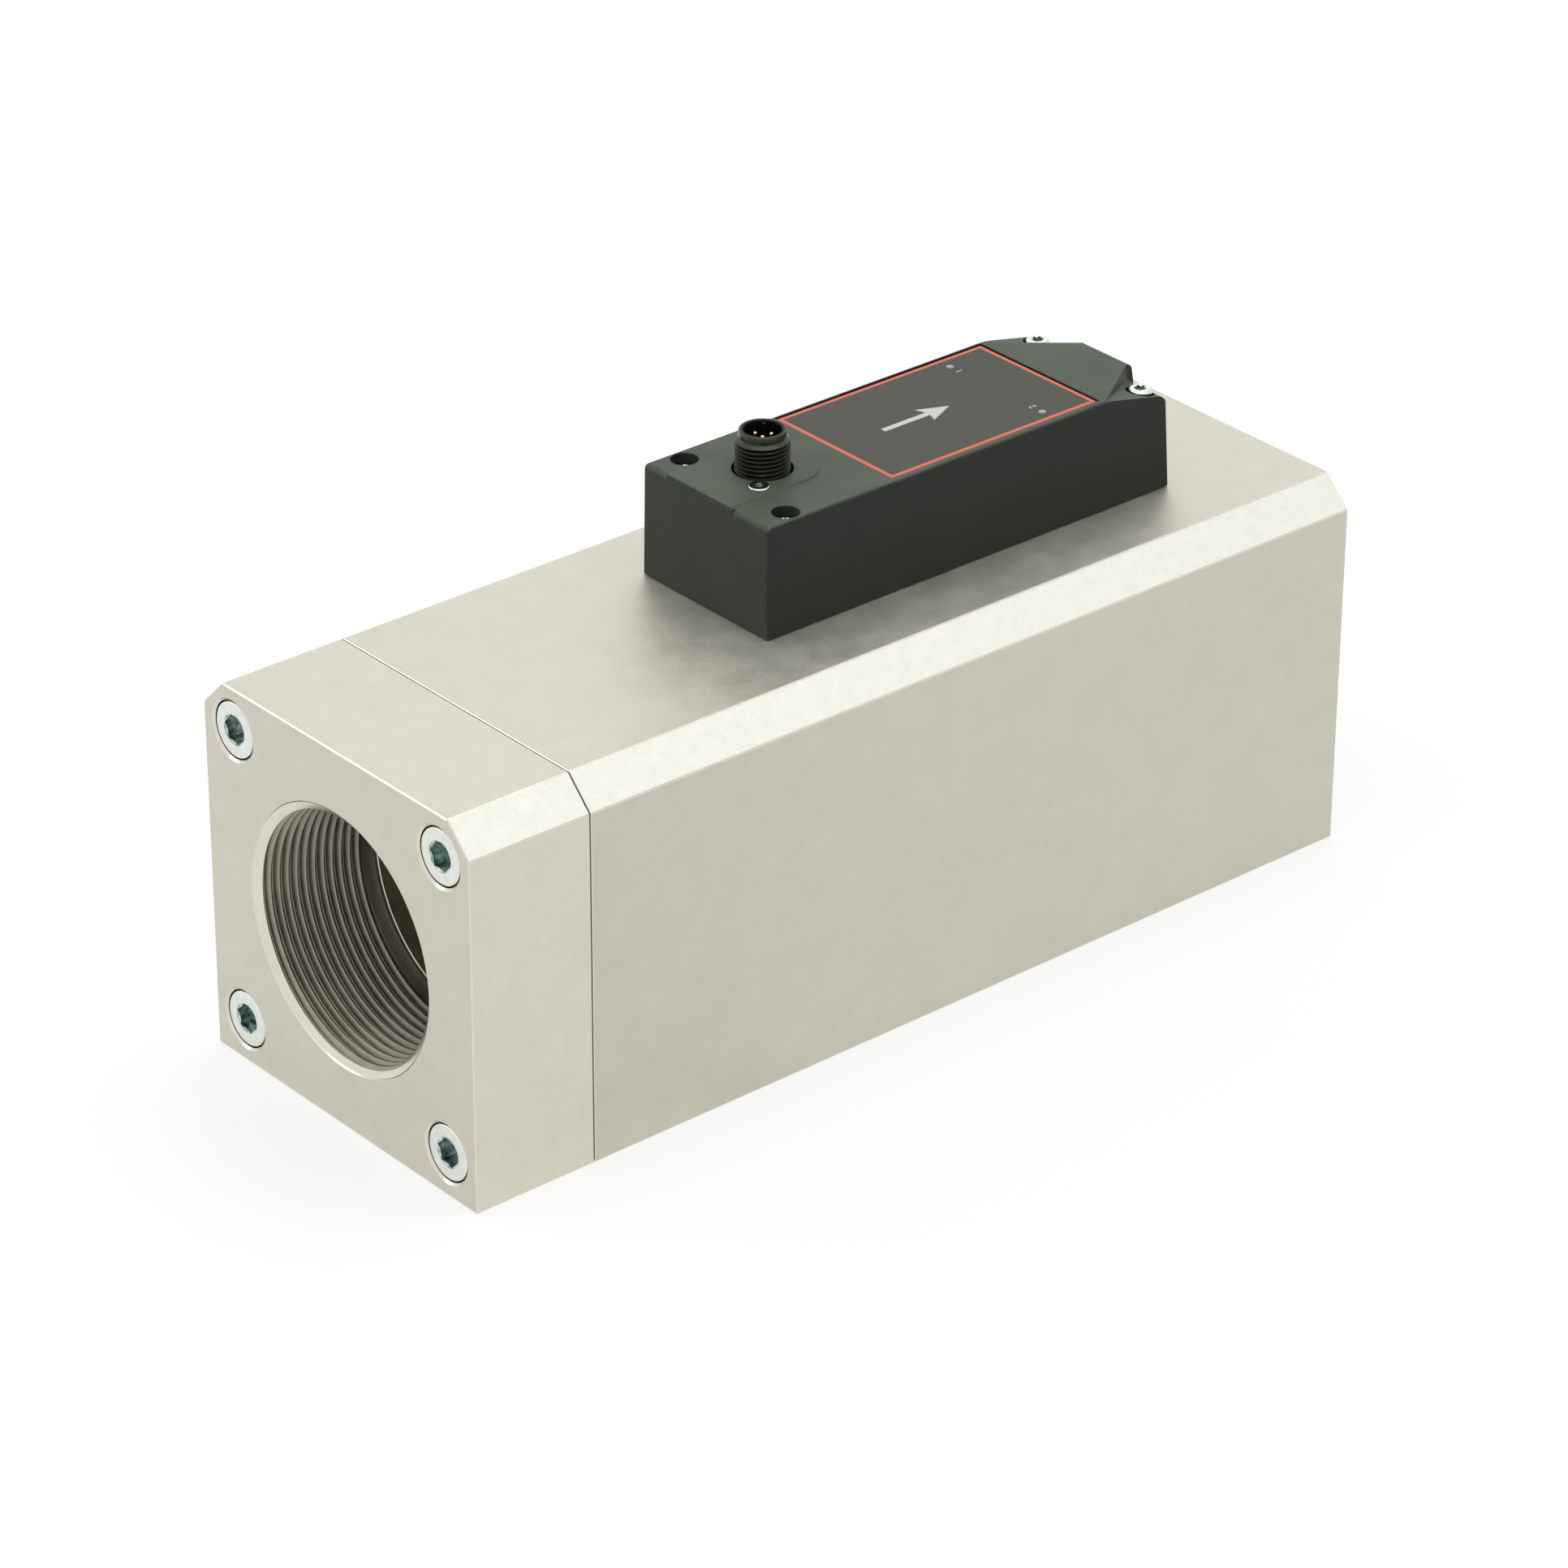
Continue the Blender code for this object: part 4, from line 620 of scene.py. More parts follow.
looks = {
    "anodisedBody": dict(
        dark=(0.580, 0.569, 0.476), light=(0.645, 0.635, 0.540), metallic=0.8, rough=(0.42, 0.56),
        # painted highlight: the two long sides are made 5% brighter
        paintedLightByFacing=((1, -0.3, -0.95, 1.05), (1, 0.3, 0.95, 1.05)),
        grain=(1.2, 0.26, 0.30), grainTurn=(0, -38, 0), grainShare=0.5, grainSides=0.2,
        blotch=8.0, bump=0.020,
    ),
    "anodisedFlange": dict(
        dark=(0.578, 0.562, 0.471), light=(0.652, 0.636, 0.541), metallic=0.85, rough=(0.42, 0.54),
        # painted highlight: the two long sides are made 19% brighter and the front 7% brighter
        paintedLightByFacing=((1, -0.3, -0.95, 1.19), (1, 0.3, 0.95, 1.19), (0, -0.5, -0.98, 1.07)),
        grain=(1.4, 0.30, 0.34), grainTurn=(0, -40, 0), grainShare=0.6, grainSides=0.2,
        blotch=6.0, bump=0.060,
    ),
    "milledChamfer": dict(
        dark=(0.70, 0.70, 0.62), light=(0.80, 0.80, 0.72), metallic=1.0, rough=(0.34, 0.44),
        grain=(0.6, 0.25, 0.25), grainShare=0.6, blotch=3.2, bump=0.010,
    ),
    "brokenEdge": dict(
        dark=(0.64, 0.635, 0.550), light=(0.72, 0.715, 0.630), metallic=1.0, rough=(0.20, 0.30),
        grain=(0.2, 0.2, 0.2), blotch=3.0, bump=0.002,
    ),
    # the turned mouths, the counterbore rims and the chamber's front edge are brighter: turned metal and a
    # painted highlight
    "turnedMetalAndHighlight": dict(
        dark=(0.65, 0.640, 0.545), light=(0.73, 0.720, 0.620), metallic=1.0, rough=(0.24, 0.32),
        grain=(0.3, 0.3, 0.3), blotch=6.0, bump=0.002,
    ),
    # painted shade: the chamber behind the flange is darker and browner than the skin
    "paintedShadeChamber": dict(
        dark=(0.50, 0.442, 0.296), light=(0.68, 0.608, 0.430), metallic=1.0, rough=(0.36, 0.48),
        grain=(0.3, 0.3, 0.3), blotch=6.0, bump=0.002, rings=0.9,
    ),
    # painted shade: the bores, their threads and the bolt holes are about half as bright as the skin
    "boreShadeAluminium": dict(
        dark=(0.275, 0.264, 0.203), light=(0.370, 0.356, 0.281), metallic=1.0, rough=(0.29, 0.41),
        grain=(0.3, 0.3, 0.3), blotch=6.0, bump=0.002,
    ),
    "zincSteel": dict(
        dark=(0.68, 0.71, 0.665), light=(0.82, 0.85, 0.80), metallic=1.0, rough=(0.26, 0.40),
        grain=(0.35, 0.35, 0.35), blotch=2.2, grainShare=0.4, bump=0.006,
    ),
    "polishedZinc": dict(
        dark=(0.62, 0.66, 0.62), light=(0.78, 0.82, 0.77), metallic=1.0, rough=(0.12, 0.20),
        grain=(0.3, 0.3, 0.3), blotch=1.2, grainShare=0.4, bump=0.004,
    ),
    # painted shade and glints: the screw recess is darker and mottled from dark teal to bright
    "zincRecessShadeAndGlints": dict(
        dark=(0.12, 0.19, 0.185), light=(0.78, 0.86, 0.82), metallic=1.0, rough=(0.10, 0.20),
        grain=(0.5, 0.5, 0.5), blotch=1.3, grainShare=0.3, bump=0.012,
    ),
    "matBlackMoulding": dict(
        dark=(0.0125, 0.0162, 0.0117), light=(0.0200, 0.0245, 0.0180), specular=0.26, rough=(0.48, 0.60),
        # painted light: the top is made almost five times brighter and the front twice as bright
        paintedLightByFacing=((2, 0.1, 1.0, 4.95), (0, -0.3, -0.95, 2.0)),
        grain=(0.16, 0.16, 0.16), blotch=16.0, grainShare=0.35, bump=0.010, soften=0.35,
        # convex edges paler: partly worn edges, partly a painted highlight
        edge=(0.085, 0.095, 0.080), edgeWidth=0.5, edgeShare=0.45,
    ),
    "satinBlack": dict(
        dark=(0.0050, 0.0060, 0.0042), light=(0.0085, 0.0100, 0.0072), specular=0.12, rough=(0.26, 0.36),
        tint=(0.86, 1.0, 0.74), grain=(0.2, 0.2, 0.2), blotch=3.0, bump=0.003,
    ),
    # painted highlight: a paler, glossier copy of the connector's black for the thread crests and the collar
    "paintedHighlightBlack": dict(
        dark=(0.020, 0.024, 0.017), light=(0.036, 0.042, 0.031), specular=0.42, rough=(0.20, 0.30),
        tint=(0.86, 1.0, 0.74), grain=(0.2, 0.2, 0.2), blotch=2.0, bump=0.003,
    ),
    "insertBlack": dict(
        dark=(0.010, 0.010, 0.009), light=(0.020, 0.020, 0.018), specular=0.4, rough=(0.40, 0.55),
        grain=(0.2, 0.2, 0.2), blotch=2.0, bump=0.004,
    ),
    "contactGold": dict(
        dark=(0.78, 0.56, 0.24), light=(0.92, 0.74, 0.40), metallic=1.0, rough=(0.16, 0.28),
        grain=(0.1, 0.1, 0.4), blotch=0.8, bump=0.001,
    ),
    "labelFilm": dict(
        dark=(0.043, 0.0430, 0.0325), light=(0.064, 0.0640, 0.0495), specular=0.4, rough=(0.50, 0.62),
        grain=(0.14, 0.14, 0.14), blotch=10.0, grainShare=0.65, bump=0.006,
    ),
    "labelBorder": dict(
        dark=(0.72, 0.150, 0.088), light=(0.80, 0.185, 0.108), specular=0.3, rough=(0.45, 0.58),
        grain=(0.14, 0.14, 0.14), blotch=5.0, bump=0.004,
    ),
    "labelPrint": dict(
        dark=(0.62, 0.62, 0.57), light=(0.74, 0.74, 0.69), specular=0.3, rough=(0.50, 0.62),
        grain=(0.12, 0.12, 0.12), blotch=4.0, bump=0.003,
    ),
    "ledLens": dict(
        dark=(0.30, 0.31, 0.28), light=(0.38, 0.39, 0.36), specular=0.5, rough=(0.18, 0.28),
        grain=(0.2, 0.2, 0.2), blotch=1.0, bump=0.002, coat=0.4,
    ),
    "sealRubber": dict(
        dark=(0.012, 0.012, 0.012), light=(0.024, 0.024, 0.023), specular=0.35, rough=(0.60, 0.75),
        grain=(0.25, 0.25, 0.25), blotch=4.0, bump=0.010,
    ),
    "boardGreen": dict(
        dark=(0.012, 0.110, 0.045), light=(0.020, 0.160, 0.065), specular=0.5, rough=(0.28, 0.42),
        grain=(0.5, 0.5, 0.5), blotch=5.0, bump=0.010,
    ),
    "brass": dict(
        dark=(0.58, 0.42, 0.16), light=(0.74, 0.56, 0.26), metallic=1.0, rough=(0.24, 0.36),
        grain=(0.2, 0.2, 0.8), blotch=2.0, bump=0.003,
    ),
    "stainless": dict(
        dark=(0.50, 0.50, 0.48), light=(0.64, 0.64, 0.62), metallic=1.0, rough=(0.24, 0.36),
        grain=(0.25, 0.25, 0.25), blotch=3.0, bump=0.003,
    ),
    "drawnAluminium": dict(
        dark=(0.60, 0.60, 0.58), light=(0.74, 0.74, 0.72), metallic=1.0, rough=(0.26, 0.38),
        grain=(1.2, 0.2, 0.2), blotch=4.0, bump=0.004,
    ),
    "probePlastic": dict(
        dark=(0.46, 0.44, 0.37), light=(0.56, 0.54, 0.46), specular=0.4, rough=(0.38, 0.50),
        grain=(0.2, 0.2, 0.2), blotch=5.0, bump=0.005,
    ),
}
finishes = {name: makeFinish(name, look) for name, look in looks.items()}
print("finishes: %d" % len(finishes))


# Aluminium blocks

block = Sizes(width=90.0, height=90.0, chamfer=6.9, edgeBreak=0.27, jointBreak=0.14)
port = Sizes(
    minorRadius=28.33, rimRadius=30.40, rimBreak=0.20, rimStep=0.32, shelf=0.22, shelfFall=0.08,
    sinkDepth=1.75, threadStart=1.2, threadTurn=90.0, threadEnd=27.33, reliefRadius=29.0, reliefRun=0.4,
    backEdge=0.14, facets=180,
)
portThread = Sizes(radius=28.33, pitch=2.309, turns=11.3, stepsPerTurn=90, runIn=0.25, runOut=0.6)
threads = threadTree(portThread)
portGroove = [(-0.5, -1.02), (-0.02, -1.05), (0.10, -0.95), (1.28, -0.30), (1.42, -0.17), (1.48, 0.0),
              (1.42, 0.17), (1.28, 0.30), (0.10, 0.95), (-0.02, 1.05), (-0.5, 1.02)]
boltHole = Sizes(inset=10.0, radius=4.45, seatRadius=6.7, seatDepth=8.7, edge=0.55, through=34.0, facets=72)
bore = Sizes(
    flowRadius=24.5, taper=3.8, chamberRadius=28.4, chamberDepth=30.0, chamberEdge=0.14,
    ringGrooveRadius=29.6, ringGrooveLow=17.8, ringGrooveHigh=19.9, sealRadius=32.7, sealHalf=1.6,
)
bodyHoles = Sizes(
    boltRadius=4.3, boltDepth=17.1, tapRadius=1.8, tapFacets=20, top=92.0, coverTapLow=82.0, boardTapLow=84.0,
    probeTapLow=77.5, probeTapTop=86.0, pocketRadius=7.0, pocketSeatRadius=15.3, pocketSeatZ=84.4,
)
# how far from the bore's axis, a bolt or an outer edge each kind of face reaches
paint = Sizes(boreReach=31.0, chamberReach=35.0, rimRadius=28.42, rimDepth=0.3, mouthDepth=0.5,
              boltReach=7.4, boltMouth=0.7, edgeReach=7.5)
boltReach = block.width / 2 - boltHole.inset
boltPlaces = [(y, axisZ + z) for y in (boltReach, -boltReach) for z in (boltReach, -boltReach)]
coverScrewPlaces = [(-16.5, 16.6), (-16.5, -16.6), (85.5, 16.6), (85.5, -16.6)]
probeX = nodeMiddle("sensor_probe")[0]


def aluminiumBlock(startX, endX, startBreak, endBreak):
    half, high, cut = block.width / 2, block.height, block.chamfer
    corner = [(half, 0), (half, high - cut), (half - cut, high)]
    corner += [(cut - half, high), (-half, high - cut), (-half, 0)]
    outline = []
    for i, here in enumerate(corner):
        for near in (corner[i - 1], corner[(i + 1) % len(corner)]):
            step = (Vector(near) - Vector(here)).normalized() * block.edgeBreak
            outline.append(tuple(Vector(here) + step))
    levels = [(startX, startBreak), (startX + startBreak, 0.0), (endX - endBreak, 0.0), (endX, endBreak)]
    return moved(stack([(inset(outline, amount), x) for x, amount in levels]), acrossFlow)


def mouthProfile():
    # from outside the block down to the threaded bore, as (radius, depth)
    rim, edge = port.rimRadius, port.rimBreak
    return [
        (0.0, -past), (rim + edge + 1.0, -past), (rim + edge + 1.0, -0.6), (rim + edge, 0.0), (rim, edge),
        (rim - 0.03, port.rimStep), (rim - port.shelf, port.rimStep + port.shelfFall),
        (port.minorRadius, port.sinkDepth),
    ]


def placedGroove(matrix):
    # the thread starts behind the mouth's cone, on the side away from the picture
    turn = Matrix.Rotation(math.radians(port.threadTurn), 4, "Z")
    start = Matrix.Translation((0, 0, port.threadStart)) @ turn
    return moved(threadGroove(portGroove, portThread), matrix @ start)


def onMouth(depth, reach):
    # whether a point lies on the turned rim, its small step or the cone below them
    wide, high = port.rimRadius - port.shelf, port.rimStep + port.shelfFall
    cone = port.minorRadius + (wide - port.minorRadius) * (port.sinkDepth - depth) / (port.sinkDepth - high)
    return reach > wide - 0.03 or abs(reach - cone) < 0.03


def blockPaint(mesh, face, mouthX, inward):
    # 0 anodised skin, 1 bright broken edges, 2 inside the bores, darker as painted shade,
    # 3 the long chamfers, 4 turned mouths with a painted highlight, also on the chamber's front edge,
    # 5 the inner chamber, darker and browner as painted shade
    centre, normal, along = face.center, face.normal, abs(face.normal.x)
    reach = math.hypot(centre.y, centre.z - axisZ)
    depth = (centre.x - mouthX) * inward
    fromEnd = min(abs(centre.x - x) for x in (inletX, jointX, bodyX, outletX))
    if along > 0.99 and fromEnd < 0.05:
        return 0
    if inward < 0 and reach < paint.boreReach and centre.x < bodyX + paint.chamberReach:
        # the chamber's front edge takes the mouths' finish as a painted highlight, and the rest takes the
        # chamber's painted shade
        return 4 if reach > paint.rimRadius and centre.x < bodyX + paint.rimDepth else 5
    if reach < paint.boreReach:
        points = [mesh.vertices[i].co for i in face.vertices]
        spots = [((point.x - mouthX) * inward, math.hypot(point.y, point.z - axisZ)) for point in points]
        return 4 if all(onMouth(*spot) for spot in spots) and (depth < paint.mouthDepth or along > 0.5) else 2
    if along < 0.99 and min(math.hypot(centre.y - y, centre.z - z) for y, z in boltPlaces) < paint.boltReach:
        return 4 if depth < paint.boltMouth else 2
    if along < 0.01 and abs(abs(normal.y) - abs(normal.z)) < 0.02:
        return 3
    fromEdge = min(abs(abs(centre.y) - block.width / 2), centre.z, block.height - centre.z, fromEnd)
    return 1 if max(abs(part) for part in normal) <= 0.99 and fromEdge < paint.edgeReach else 0


def finishBlock(name, mesh, mouthX, inward, keys, node, slot):
    for face in mesh.polygons:
        face.material_index = blockPaint(mesh, face, mouthX, inward)
    finishPiece(name, mesh, keys, [node], slot, sharp=20.0, boreSharp=70.0, flat=(0, 1, 3))


def boltBore(y, z):
    wide, deep, narrow, edge = boltHole.seatRadius, boltHole.seatDepth, boltHole.radius, boltHole.edge
    profile = [(0.0, -past), (wide + edge, -past), (wide + edge, 0.0), (wide, edge), (wide, deep),
               (narrow, deep), (narrow, boltHole.through), (0.0, boltHole.through)]
    return moved(turned(profile, boltHole.facets), alongFlow(inletX, y, z))


def inletBore():
    length, wide = jointX - inletX, port.reliefRadius
    profile = mouthProfile() + [
        (port.minorRadius, port.threadEnd), (wide, port.threadEnd + port.reliefRun), (wide, length - 0.12),
        (wide + port.backEdge, length + 0.02), (wide + port.backEdge, length + past), (0.0, length + past),
    ]
    return moved(turned(profile, port.facets), alongFlow(inletX))


def bodyBore():
    # the chamber behind the flange, the narrower passage and the outlet port
    length, wide, edge = outletX - bodyX, bore.chamberRadius, bore.chamberEdge
    outlet = mouthProfile()
    outlet += [(port.minorRadius, port.threadEnd), (bore.flowRadius, port.threadEnd + bore.taper)]
    profile = [
        (0.0, -past), (wide + edge, -past), (wide + edge, 0.0), (wide, edge), (wide, bore.ringGrooveLow),
        (bore.ringGrooveRadius, bore.ringGrooveLow), (bore.ringGrooveRadius, bore.ringGrooveHigh),
        (wide, bore.ringGrooveHigh), (wide, bore.chamberDepth), (bore.flowRadius, bore.chamberDepth),
    ] + [(radius, length - depth) for radius, depth in reversed(outlet)]
    return moved(turned(profile, port.facets), alongFlow(bodyX))


def sealGroove():
    low, high = bore.sealRadius - bore.sealHalf, bore.sealRadius + bore.sealHalf
    deep = 2 * bore.sealHalf
    ring = turned([(low, -past), (high, -past), (high, deep), (low, deep)], 96, closed=True)
    return moved(ring, alongFlow(bodyX))


def probePocket():
    stem, seat = bodyHoles.pocketRadius, bodyHoles.pocketSeatRadius
    low, high = bodyHoles.pocketSeatZ, bodyHoles.top
    profile = [(0.0, axisZ), (stem, axisZ), (stem, low), (seat, low), (seat, high), (0.0, high)]
    return turned(profile, 72, (probeX, 0.0))


def taps(places, low, high):
    return [rod(bodyHoles.tapRadius, low, high, bodyHoles.tapFacets, place) for place in places]


flangeMesh = carve(
    aluminiumBlock(inletX, jointX, block.edgeBreak, block.jointBreak),
    inletBore(),
    placedGroove(alongFlow(inletX)),
    *[boltBore(y, z) for y, z in boltPlaces],
)
blockKeys = ["brokenEdge", "boreShadeAluminium", "milledChamfer", "turnedMetalAndHighlight"]
flangeKeys = ["anodisedFlange"] + blockKeys
finishBlock("inletFlange", flangeMesh, inletX, 1, flangeKeys, "inlet_flange", "flange_aluminium")

boltRod = [bodyHoles.boltRadius, -past, bodyHoles.boltDepth, 36]
standoffPlaces = [nodeMiddle(node) for node in numbered("board_standoff", 4)]
probeScrewPlaces = [nodeMiddle(node) for node in numbered("probe_screw", 2)]
bodyMesh = carve(
    aluminiumBlock(bodyX, outletX, block.jointBreak, block.edgeBreak),
    bodyBore(),
    placedGroove(againstFlow(outletX)),
    sealGroove(),
    probePocket(),
    *[moved(rod(*boltRod), alongFlow(bodyX, y, z)) for y, z in boltPlaces],
    *taps(coverScrewPlaces, bodyHoles.coverTapLow, bodyHoles.top),
    *taps(standoffPlaces, bodyHoles.boardTapLow, bodyHoles.top),
    *taps(probeScrewPlaces, bodyHoles.probeTapLow, bodyHoles.probeTapTop),
)
bodyKeys = ["anodisedBody"] + blockKeys + ["paintedShadeChamber"]
finishBlock("mainBody", bodyMesh, outletX, -1, bodyKeys, "main_body", "body_aluminium")


# Screws

flangeScrew = Sizes(
    headRadius=6.4, headLength=8.0, headEdge=0.45, headDome=0.0, shankRadius=4.0, shankLength=38.0,
    recessRadius=6.0 / math.sqrt(3), recessWaist=3.0, recessLobes=0.0, recessFacets=6, recessDepth=4.2,
    mouthRadius=3.6, mouthDepth=0.42, facets=64, direction=(-1.0, 0.0, 0.0),
)
coverScrew = Sizes(
    headRadius=2.65, headLength=2.4, headEdge=0.55, headDome=0.12, shankRadius=1.5, shankLength=28.5,
    recessRadius=1.45, recessWaist=1.02, recessLobes=6.0, recessFacets=60, recessDepth=1.3,
    mouthRadius=1.5, mouthDepth=0.28, facets=48, direction=upward,
)
connectorScrew = Sizes(
    headRadius=2.3, headLength=0.85, headEdge=0.30, headDome=0.05, shankRadius=1.1, shankLength=5.6,
    recessRadius=0.97, recessWaist=0.66, recessLobes=6.0, recessFacets=60, recessDepth=0.72,
    mouthRadius=1.0, mouthDepth=0.18, facets=48, direction=upward,
)
screws = screwTree(flangeScrew)
flangeHeadFoot = inletX + 0.4 + flangeScrew.headLength
coverHeadFoot = corners("cover_screw_1")[1].z - coverScrew.headLength
connectorHeadFoot = 116.22
connectorScrewPlace = nodeMiddle("connector_screw")


for name, sizes, places, turns, finish, nodes in (
    ("flangeScrews", flangeScrew, [(flangeHeadFoot, y, z) for y, z in boltPlaces],
     [0.35, 0.30, 0.42, 0.35], "zincSteel", numbered("flange_screw", 4)),
    ("coverScrews", coverScrew, [(x, y, coverHeadFoot) for x, y in coverScrewPlaces],
     [0.2, 0.9, 0.5, 0.15], "polishedZinc", numbered("cover_screw", 4)),
    ("connectorScrew", connectorScrew, [(*connectorScrewPlace, connectorHeadFoot)],
     [0.3], "polishedZinc", ["connector_screw"]),
):
    mesh = grow(name, screws, pointMesh(places, turns), sizes, finish=finish, recessFinish="zincRecessShadeAndGlints")
    finishPiece(name, mesh, [], nodes, "zinc_steel")


# Flow straightener, screen and sensor probe in the bore

straightener = Sizes(
    discRadius=28.1, thickness=8.0, rings=3,
    holePitch=7.4, holeRadius=6.6 / math.sqrt(3), holeTurn=math.pi / 6,
)
screen = Sizes(
    discRadius=28.1, thickness=1.5, rings=3,
    holePitch=7.0, holeRadius=2.4 * 2 / math.sqrt(3), holeTurn=0.0,
)
grids = gridTree(straightener)
for name, node, values, finish, slot in (
    ("flowStraightener", "flow_straightener", straightener, "drawnAluminium", "drawn_aluminium"),
    ("screenDisc", "screen_disc", screen, "stainless", "stainless"),
):
    low, high = corners(node)
    mesh = grow(name, grids, bpy.data.meshes.new("empty"), values, finish=finish)
    finishPiece(name, moved(mesh, alongFlow((low.x + high.x) / 2)), [], [node], slot)

probe = Sizes(
    topZ=89.7, seatZ=84.7, flangeRadius=15.0, flangeEdge=0.3, stemRadius=6.7, tipZ=39.0, tipRound=0.8,
    grooveLow=78.8, grooveHigh=80.6, grooveRadius=5.2, slotWidth=5.0, slotLow=41.0, slotHigh=57.0,
    slotCorner=1.2, slotReach=9.0, headHole=2.9, headCut=(87.4, 92.0), screwHole=1.8, screwCut=(82.0, 88.0),
)


def probeBody():
    stem, flange, edge = probe.stemRadius, probe.flangeRadius, probe.flangeEdge
    tip = [
        (stem - probe.tipRound * (1 - sine), probe.tipZ + probe.tipRound * (1 - cosine))
        for sine, cosine in quarterRound(5)
    ]
    groove, low, high = probe.grooveRadius, probe.grooveLow, probe.grooveHigh
    profile = [(0.0, probe.tipZ)] + tip + [
        (stem, low), (groove, low), (groove, high), (stem, high), (stem, probe.seatZ),
        (flange - edge, probe.seatZ), (flange, probe.seatZ + edge), (flange, probe.topZ - edge),
        (flange - edge, probe.topZ), (0.0, probe.topZ),
    ]
    return turned(profile, 72, (probeX, 0.0))


def probeSlot():
    half = probe.slotWidth / 2
    outline = roundedOutline((-half, probe.slotLow), (half, probe.slotHigh), probe.slotCorner, 6)
    sideways = Matrix.Translation((probeX, 0, 0)) @ acrossFlow
    return moved(prism(outline, -probe.slotReach, probe.slotReach), sideways)


probeHoles = []
for place in probeScrewPlaces:
    probeHoles.append(rod(probe.headHole, *probe.headCut, 32, place))
    probeHoles.append(rod(probe.screwHole, *probe.screwCut, 24, place))
probeMesh = carve(probeBody(), probeSlot(), *probeHoles)
finishPiece("sensorProbe", probeMesh, ["probePlastic"], ["sensor_probe"], "probe_plastic")


# Electronics cover

cover = Sizes(
    frontX=-24.8, length=116.1, halfWidth=20.7, footZ=90.3, height=26.0, middleX=30.0,
    sideDraft=0.3, frontDraft=0.2, rearDraft=1.6, wall=2.8, roof=2.7,
    frontRound=1.6, rearRound=1.5, sideRound=0.6, uprightRound=0.55, roundSteps=7,
    padRise=0.4, padSlope=0.6, padBack=10.1, padHalfWidth=10.2, padCorner=6.0, padSteps=10,
    labelGap=0.8, nearGap=0.08, lowGap=0.3, ledHole=0.97, screwSeat=2.42, screwSink=0.5,
    ledgeLength=20.3, ledgeSlope=0.222, ledgeSoft=0.2, ledgeTop=9.3, ledgeFarTop=5.9, ledgeRear=3.0,
    ledgeRound=2.6, ledgeRoundEnd=1.2, ledgeEdge=0.45, ledgeFoot=0.4, ledgeDraft=0.10, ledgeSteps=34,
    boreRadius=3.05, boreFlare=0.22, boreFacets=64, seatZ=111.6, rearBore=3.3, holeRadius=1.8,
    columnRadius=4.2, rearRoof=107.5, rearRoofX=78.0, connectorHole=6.65, connectorFlare=0.15, screwHole=1.4,
    gasketDepth=1.7, gasketOuter=1.0, gasketInner=2.4,
)
connectorPlace = (-7.0, 2.1)
ledPlaces = [nodeMiddle(node) for node in numbered("led_window", 2)]
labelLow, labelHigh = corners("label_plate")
coverTop = cover.footZ + cover.height
coverEnd = cover.frontX + cover.length
roofZ = coverTop - cover.roof


def coverBox(inwards, lowZ, highZ):
    half = cover.halfWidth - inwards
    return box((cover.frontX + inwards, -half, lowZ), (coverEnd - inwards, half, highZ))


def draftedBox(inwards, lowZ, highZ):
    # a box in the cover's outline that grows narrower towards the top
    mesh = coverBox(inwards, lowZ, highZ)
    share = (highZ - cover.footZ) / cover.height
    for vertex in mesh.vertices:
        if vertex.co.z > (lowZ + highZ) / 2:
            vertex.co.y -= math.copysign(cover.sideDraft * share, vertex.co.y)
            vertex.co.x += share * (cover.frontDraft if vertex.co.x < cover.middleX else -cover.rearDraft)
    return mesh


def edgeRadius(first, second):
    if abs(first.z - second.z) > 10:
        return cover.uprightRound
    if max(first.z, second.z) < roofZ:
        return 0.0
    if abs(first.x - second.x) > 10:
        return cover.sideRound
    return cover.frontRound if first.x < cover.middleX else cover.rearRound


def roundedShell():
    mesh = draftedBox(0.0, cover.footZ, coverTop)
    weights = mesh.attributes.new("bevel_weight_edge", "FLOAT", "EDGE")
    for edge in mesh.edges:
        radius = edgeRadius(*(mesh.vertices[i].co for i in edge.vertices))
        weights.data[edge.index].value = radius / cover.frontRound
    made = newObject("shell", mesh)
    change = made.modifiers.new("rounds", "BEVEL")
    change.width, change.segments, change.limit_method = cover.frontRound, cover.roundSteps, "WEIGHT"
    return baked(made)


def ledgeZ(distance):
    # falls off softly at first, then evenly, and rolls over at the rear end
    run = distance - (cover.length - cover.ledgeLength)
    soft = cover.ledgeSoft * (1 - math.exp(-run / 2)) if run > 0 else 0.0
    height = coverTop - cover.ledgeSlope * run + soft
    roll = cover.ledgeRound
    over = max(0.0, distance - (cover.length - cover.ledgeRoundEnd - roll))
    turn = min(over, roll * 0.97)
    return height - roll + math.sqrt(roll ** 2 - turn ** 2) - 4.0 * (over - turn)


def ledgeDistances(start):
    # close together where the ledge rolls over
    rollEnd = cover.length - cover.ledgeRoundEnd
    rollStart = rollEnd - cover.ledgeRound
    steps = cover.ledgeSteps
    even = [start - 1.0 + (rollStart - start + 1.0) * i / steps for i in range(steps)]
    rolled = [rollStart + cover.ledgeRound * sine for sine, cosine in quarterRound(12)[:-1]]
    return even + rolled + [rollEnd + 0.1, cover.length + 2.0]


